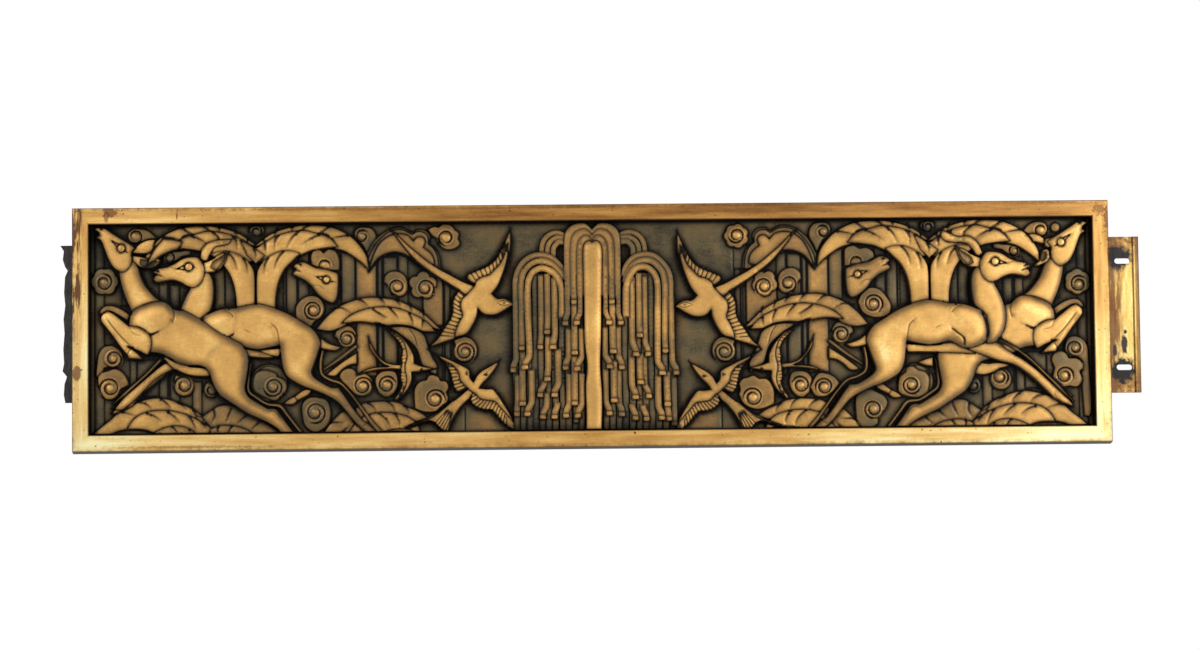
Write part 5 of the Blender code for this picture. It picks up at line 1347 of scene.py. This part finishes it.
# Its tone: file marks that lie along the rails and stand on the stiles, over
# broad cloudy wear; it is paler towards the foot and the ends, and palest in a painted
# highlight at the lower right
material, tree, shader, where = new_material("frame_gilding")
spread = node(tree, "SeparateXYZ", {"Vector": where}).outputs
cloudy = add_noise(tree, where, 9, 5)
fine = add_noise(tree, where, 210, 3, rough=0.7)
ragged = add_noise(tree, where, 60, 4, rough=0.65)
off_x = math_of(tree, "ABSOLUTE", spread["X"], 0.0)
off_z = math_of(tree, "ABSOLUTE", spread["Z"], 0.0)

# The file marks turn at the mitres
upright = ranged(tree, math_of(tree, "SUBTRACT", off_x, off_z), 0.682, 0.715)
lying = add_noise(tree, where, 40, 4, (0.12, 1, 1.6), 0.65)
standing = add_noise(tree, where, 40, 4, (1.6, 1, 0.12), 0.65)
streaks = node(tree, "Mix", {0: upright, 2: lying, 3: standing}, data_type="FLOAT").outputs[0]
foot = ranged(tree, spread["Z"], 0.15, -0.15, 0.0, 0.29)
# A painted highlight where the foot meets the right end
corner = times(tree, foot, ranged(tree, spread["X"], 0.0, 0.8, 0.0, 0.95))
tone = combine(tree, off_x, "POWER", 2.0, "MULTIPLY", 0.3, "ADD", foot, "ADD", corner,
               "ADD", times(tree, cloudy, 0.28), "ADD", times(tree, fine, 0.14),
               "ADD", streaks, "SUBTRACT", 0.465, "ADD", times(tree, spread["X"], -0.15))
metal = add_ramp(tree, tone, (
    (0.0, colour(112, 72, 34)), (0.2, colour(164, 113, 52)), (0.42, colour(200, 148, 74)),
    (0.62, colour(228, 180, 102)), (0.8, colour(246, 210, 134)), (1.0, colour(254, 244, 184))))

# Its outer edges are browner, and the left stile is stained above its middle
outer_x = ranged(tree, off_x, 0.903, 0.9135)
outer_z = ranged(tree, off_z, 0.2025, 0.2145)
edge = times(tree, math_of(tree, "MAXIMUM", outer_x, outer_z),
             combine(tree, ragged, "MULTIPLY", 4.0, "SUBTRACT", 1.55), True)
metal = mix_of(tree, times(tree, edge, 0.7), metal, colour(122, 78, 36))
worn_x = ranged(tree, spread["X"], -0.893, -0.908)
worn_z = ranged(tree, spread["Z"], -0.03, 0.07)
drawn_out = add_noise(tree, where, 90, 4, (1.6, 1, 0.2), 0.7)
worn = times(tree, times(tree, worn_x, worn_z),
             combine(tree, drawn_out, "SUBTRACT", 0.44, "MULTIPLY", 22.0), True)
metal = mix_of(tree, times(tree, worn, 0.92), metal, colour(84, 46, 20))

# Its brown stains: the place, the half width and height, the strength and how ragged
torn = add_noise(tree, where, 170, 4, rough=0.7)
for x, z, wide, high, share, wobble in (
        (-0.9035, -0.0765, 0.0078, 0.0135, 0.8, 0.7), (-0.845, 0.2065, 0.0135, 0.008, 0.8, 3.0),
        (-0.852, 0.1985, 0.0055, 0.009, 0.7, 3.0), (-0.7285, 0.2, 0.0014, 0.008, 0.8, 3.0),
        (0.897, 0.197, 0.012, 0.009, 0.7, 3.0), (0.9085, 0.178, 0.004, 0.022, 0.8, 3.0),
        (0.9115, 0.12, 0.002, 0.03, 0.7, 3.0), (0.9125, -0.06, 0.0018, 0.07, 0.6, 3.0),
        (-0.3, 0.2085, 0.4, 0.0022, 0.45, 3.0), (0.5, 0.2095, 0.36, 0.0026, 0.4, 3.0),
        (-0.7, -0.207, 0.12, 0.0022, 0.45, 3.0)):
    stain = times(tree, spot(tree, where, x, z, wide, high, torn, wobble), share)
    metal = mix_of(tree, stain, metal, colour(112, 66, 34))
pits = combine(tree, add_noise(tree, where, 150, 2, rough=0.5), "SUBTRACT", 0.66, "MULTIPLY", 12.0)
pits = node(tree, "Clamp", {"Value": pits}).outputs[0]
metal = mix_of(tree, pits, metal, colour(86, 54, 28))
# The sides and back are darkened with dirt and painted shade
plug(tree, shader, {
    "Base Color": side_dirt_and_shade(tree, metal, colour(40, 26, 14)),
    "Metallic": 0.5,
    "Roughness": combine(tree, streaks, "MULTIPLY", 0.3, "ADD", 0.24),
    "Normal": bump_of(tree, 0.35, 0.0005, combine(tree, streaks, "MULTIPLY", 0.7, "ADD", fine))})
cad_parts["frame"].material_slots[0].material = material

# The right lug: a brass fixing plate let into the frame's back, with a raised
# strip along its outer edge and two slots for bolts. Each slot is burnt black.
material, tree, shader, where = new_material("lug_brass")
spread = node(tree, "SeparateXYZ", {"Vector": where}).outputs
cloudy = add_noise(tree, where, 40, 5, (1.4, 1, 0.25), 0.65)
fine = add_noise(tree, where, 300, 3, rough=0.7)
ragged = add_noise(tree, where, 95, 4, rough=0.7)
metal = add_ramp(tree, math_of(tree, "ADD", cloudy, times(tree, fine, 0.25)), (
    (0.34, colour(104, 68, 30)), (0.5, colour(166, 118, 52)), (0.62, colour(216, 170, 88)),
    (0.8, colour(248, 216, 132))))

# Rust beside the frame, browner ends, and the toned strip
drawn_out = add_noise(tree, where, 80, 4, (1.5, 1, 0.2), 0.7)
rust = times(tree, ranged(tree, spread["X"], 0.944, 0.922),
             combine(tree, drawn_out, "SUBTRACT", 0.36, "MULTIPLY", 9.0), True)
metal = mix_of(tree, times(tree, rust, 0.85), metal, colour(100, 56, 22))
off_z = combine(tree, spread["Z"], "SUBTRACT", 0.015, "ABSOLUTE", 0.0)
ends = times(tree, ranged(tree, off_z, 0.085, 0.14),
             combine(tree, ragged, "MULTIPLY", 5.0, "SUBTRACT", 1.8), True)
metal = mix_of(tree, ends, metal, colour(112, 70, 28))
strip = ranged(tree, spread["X"], 0.9618, 0.964)
metal = mix_of(tree, times(tree, strip, 0.72), metal, colour(92, 62, 34))

# The black round the two slots and the small spots between them
for x, z, wide, high, tint in ((0.9335, 0.115, 0.025, 0.0215, 24), (0.9375, -0.087, 0.0225, 0.025, 24),
                               (0.9245, -0.05, 0.004, 0.010, 60), (0.9415, -0.04, 0.0065, 0.018, 56),
                               (0.9435, -0.018, 0.003, 0.005, 44)):
    burnt = spot(tree, where, x, z, wide, high, ragged, 1.6, 3.0)
    metal = mix_of(tree, burnt, metal, colour(tint, tint * 0.75, tint * 0.68))
# The sides and back are darkened with dirt and painted shade
plug(tree, shader, {
    "Base Color": side_dirt_and_shade(tree, metal, colour(70, 52, 34)),
    "Metallic": 0.45,
    "Roughness": 0.4,
    "Normal": bump_of(tree, 0.5, 0.0008, cloudy)})
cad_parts["lug_right"].material_slots[0].material = material

# The left lug: what is left of the other fixing plate, let into the frame's back
# like the right one, broken off along a ragged edge and gone black.
material, tree, shader, where = new_material("lug_black")
fine = add_noise(tree, where, 120, 5, (1.4, 1, 0.4), 0.7)
plug(tree, shader, {
    "Base Color": add_ramp(tree, fine, ((0.35, colour(26, 23, 22)), (0.6, colour(56, 50, 46)),
                                        (0.75, colour(96, 88, 80)))),
    "Metallic": 0.2,
    "Roughness": 0.6,
    "Normal": bump_of(tree, 0.7, 0.0015, fine)})
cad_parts["lug_left"].material_slots[0].material = material

# The floor: a plain pale sheet, so far below the panel, which hangs, that the
# picture doesn't show it. It is staging and no part of the object.
LEVEL = -0.8
floor_mesh = bpy.data.meshes.new("floor")
floor_corners = [(-4, -3, LEVEL), (4, -3, LEVEL), (4, 2, LEVEL), (-4, 2, LEVEL)]
floor_mesh.from_pydata(floor_corners, [], [(0, 1, 2, 3)])
floor = bpy.data.objects.new("floor", floor_mesh)
bpy.context.scene.collection.objects.link(floor)
material, tree, shader, where = new_material("floor_paper")
plug(tree, shader, {
    "Base Color": add_ramp(tree, add_noise(tree, where, 3, 2), (
        (0.3, colour(236, 236, 238)), (0.7, colour(244, 244, 246)))),
    "Roughness": 0.8})
floor_mesh.materials.append(material)

# The light: a soft white studio, white to the camera and weaker on the metal,
# with a wide lamp on each side of the camera to model the relief.
world = bpy.data.worlds.new("studio")
bpy.context.scene.world = world
world.use_nodes = True
tree = world.node_tree
seen = node(tree, "LightPath", {}).outputs["Is Camera Ray"]
plug(tree, tree.nodes["Background"], {
    "Color": (1.0, 1.0, 1.0, 1.0),
    "Strength": combine(tree, seen, "MULTIPLY", 0.62, "ADD", 0.38)})
bpy.context.scene.view_settings.view_transform = "Standard"


def add_lamp(name, place, aim, size, power):
    lamp = bpy.data.lights.new(name, "AREA")
    lamp.shape = "RECTANGLE"
    lamp.size, lamp.size_y = size
    lamp.energy = power
    made = bpy.data.objects.new(name, lamp)
    made.location = place
    made.rotation_euler = (Vector(aim) - Vector(place)).to_track_quat("-Z", "Y").to_euler()
    bpy.context.scene.collection.objects.link(made)


add_lamp("right_lamp", (2.4, -2.2, 0.5), (0.1, 0, 0), (1.2, 1.2), 63)
add_lamp("left_lamp", (-2.2, -2.4, 1.3), (-0.1, 0, 0), (1.0, 1.0), 41)

# The camera: far off with a long lens, nearly square on and a little low, and
# turned so that the panel rises to the right as in the photograph.
AIM = Vector((0.0121, -0.03, 0.0016))
DISTANCE = 6.3
TURN = math.radians(-1.67)
LOOK_UP = math.radians(4.37)
ROLL = math.radians(-0.654)
camera_data = bpy.data.cameras.new("camera")
camera_data.lens = 107.46
camera_data.sensor_width = 36.0
camera_data.dof.use_dof = False
camera = bpy.data.objects.new("camera", camera_data)
turned = (Matrix.Rotation(TURN, 4, "Z") @ Matrix.Rotation(math.pi / 2 + LOOK_UP, 4, "X")
          @ Matrix.Rotation(ROLL, 4, "Z"))
camera.matrix_world = Matrix.Translation(AIM - turned.to_3x3() @ Vector((0, 0, -DISTANCE))) @ turned
bpy.context.scene.collection.objects.link(camera)
bpy.context.scene.camera = camera
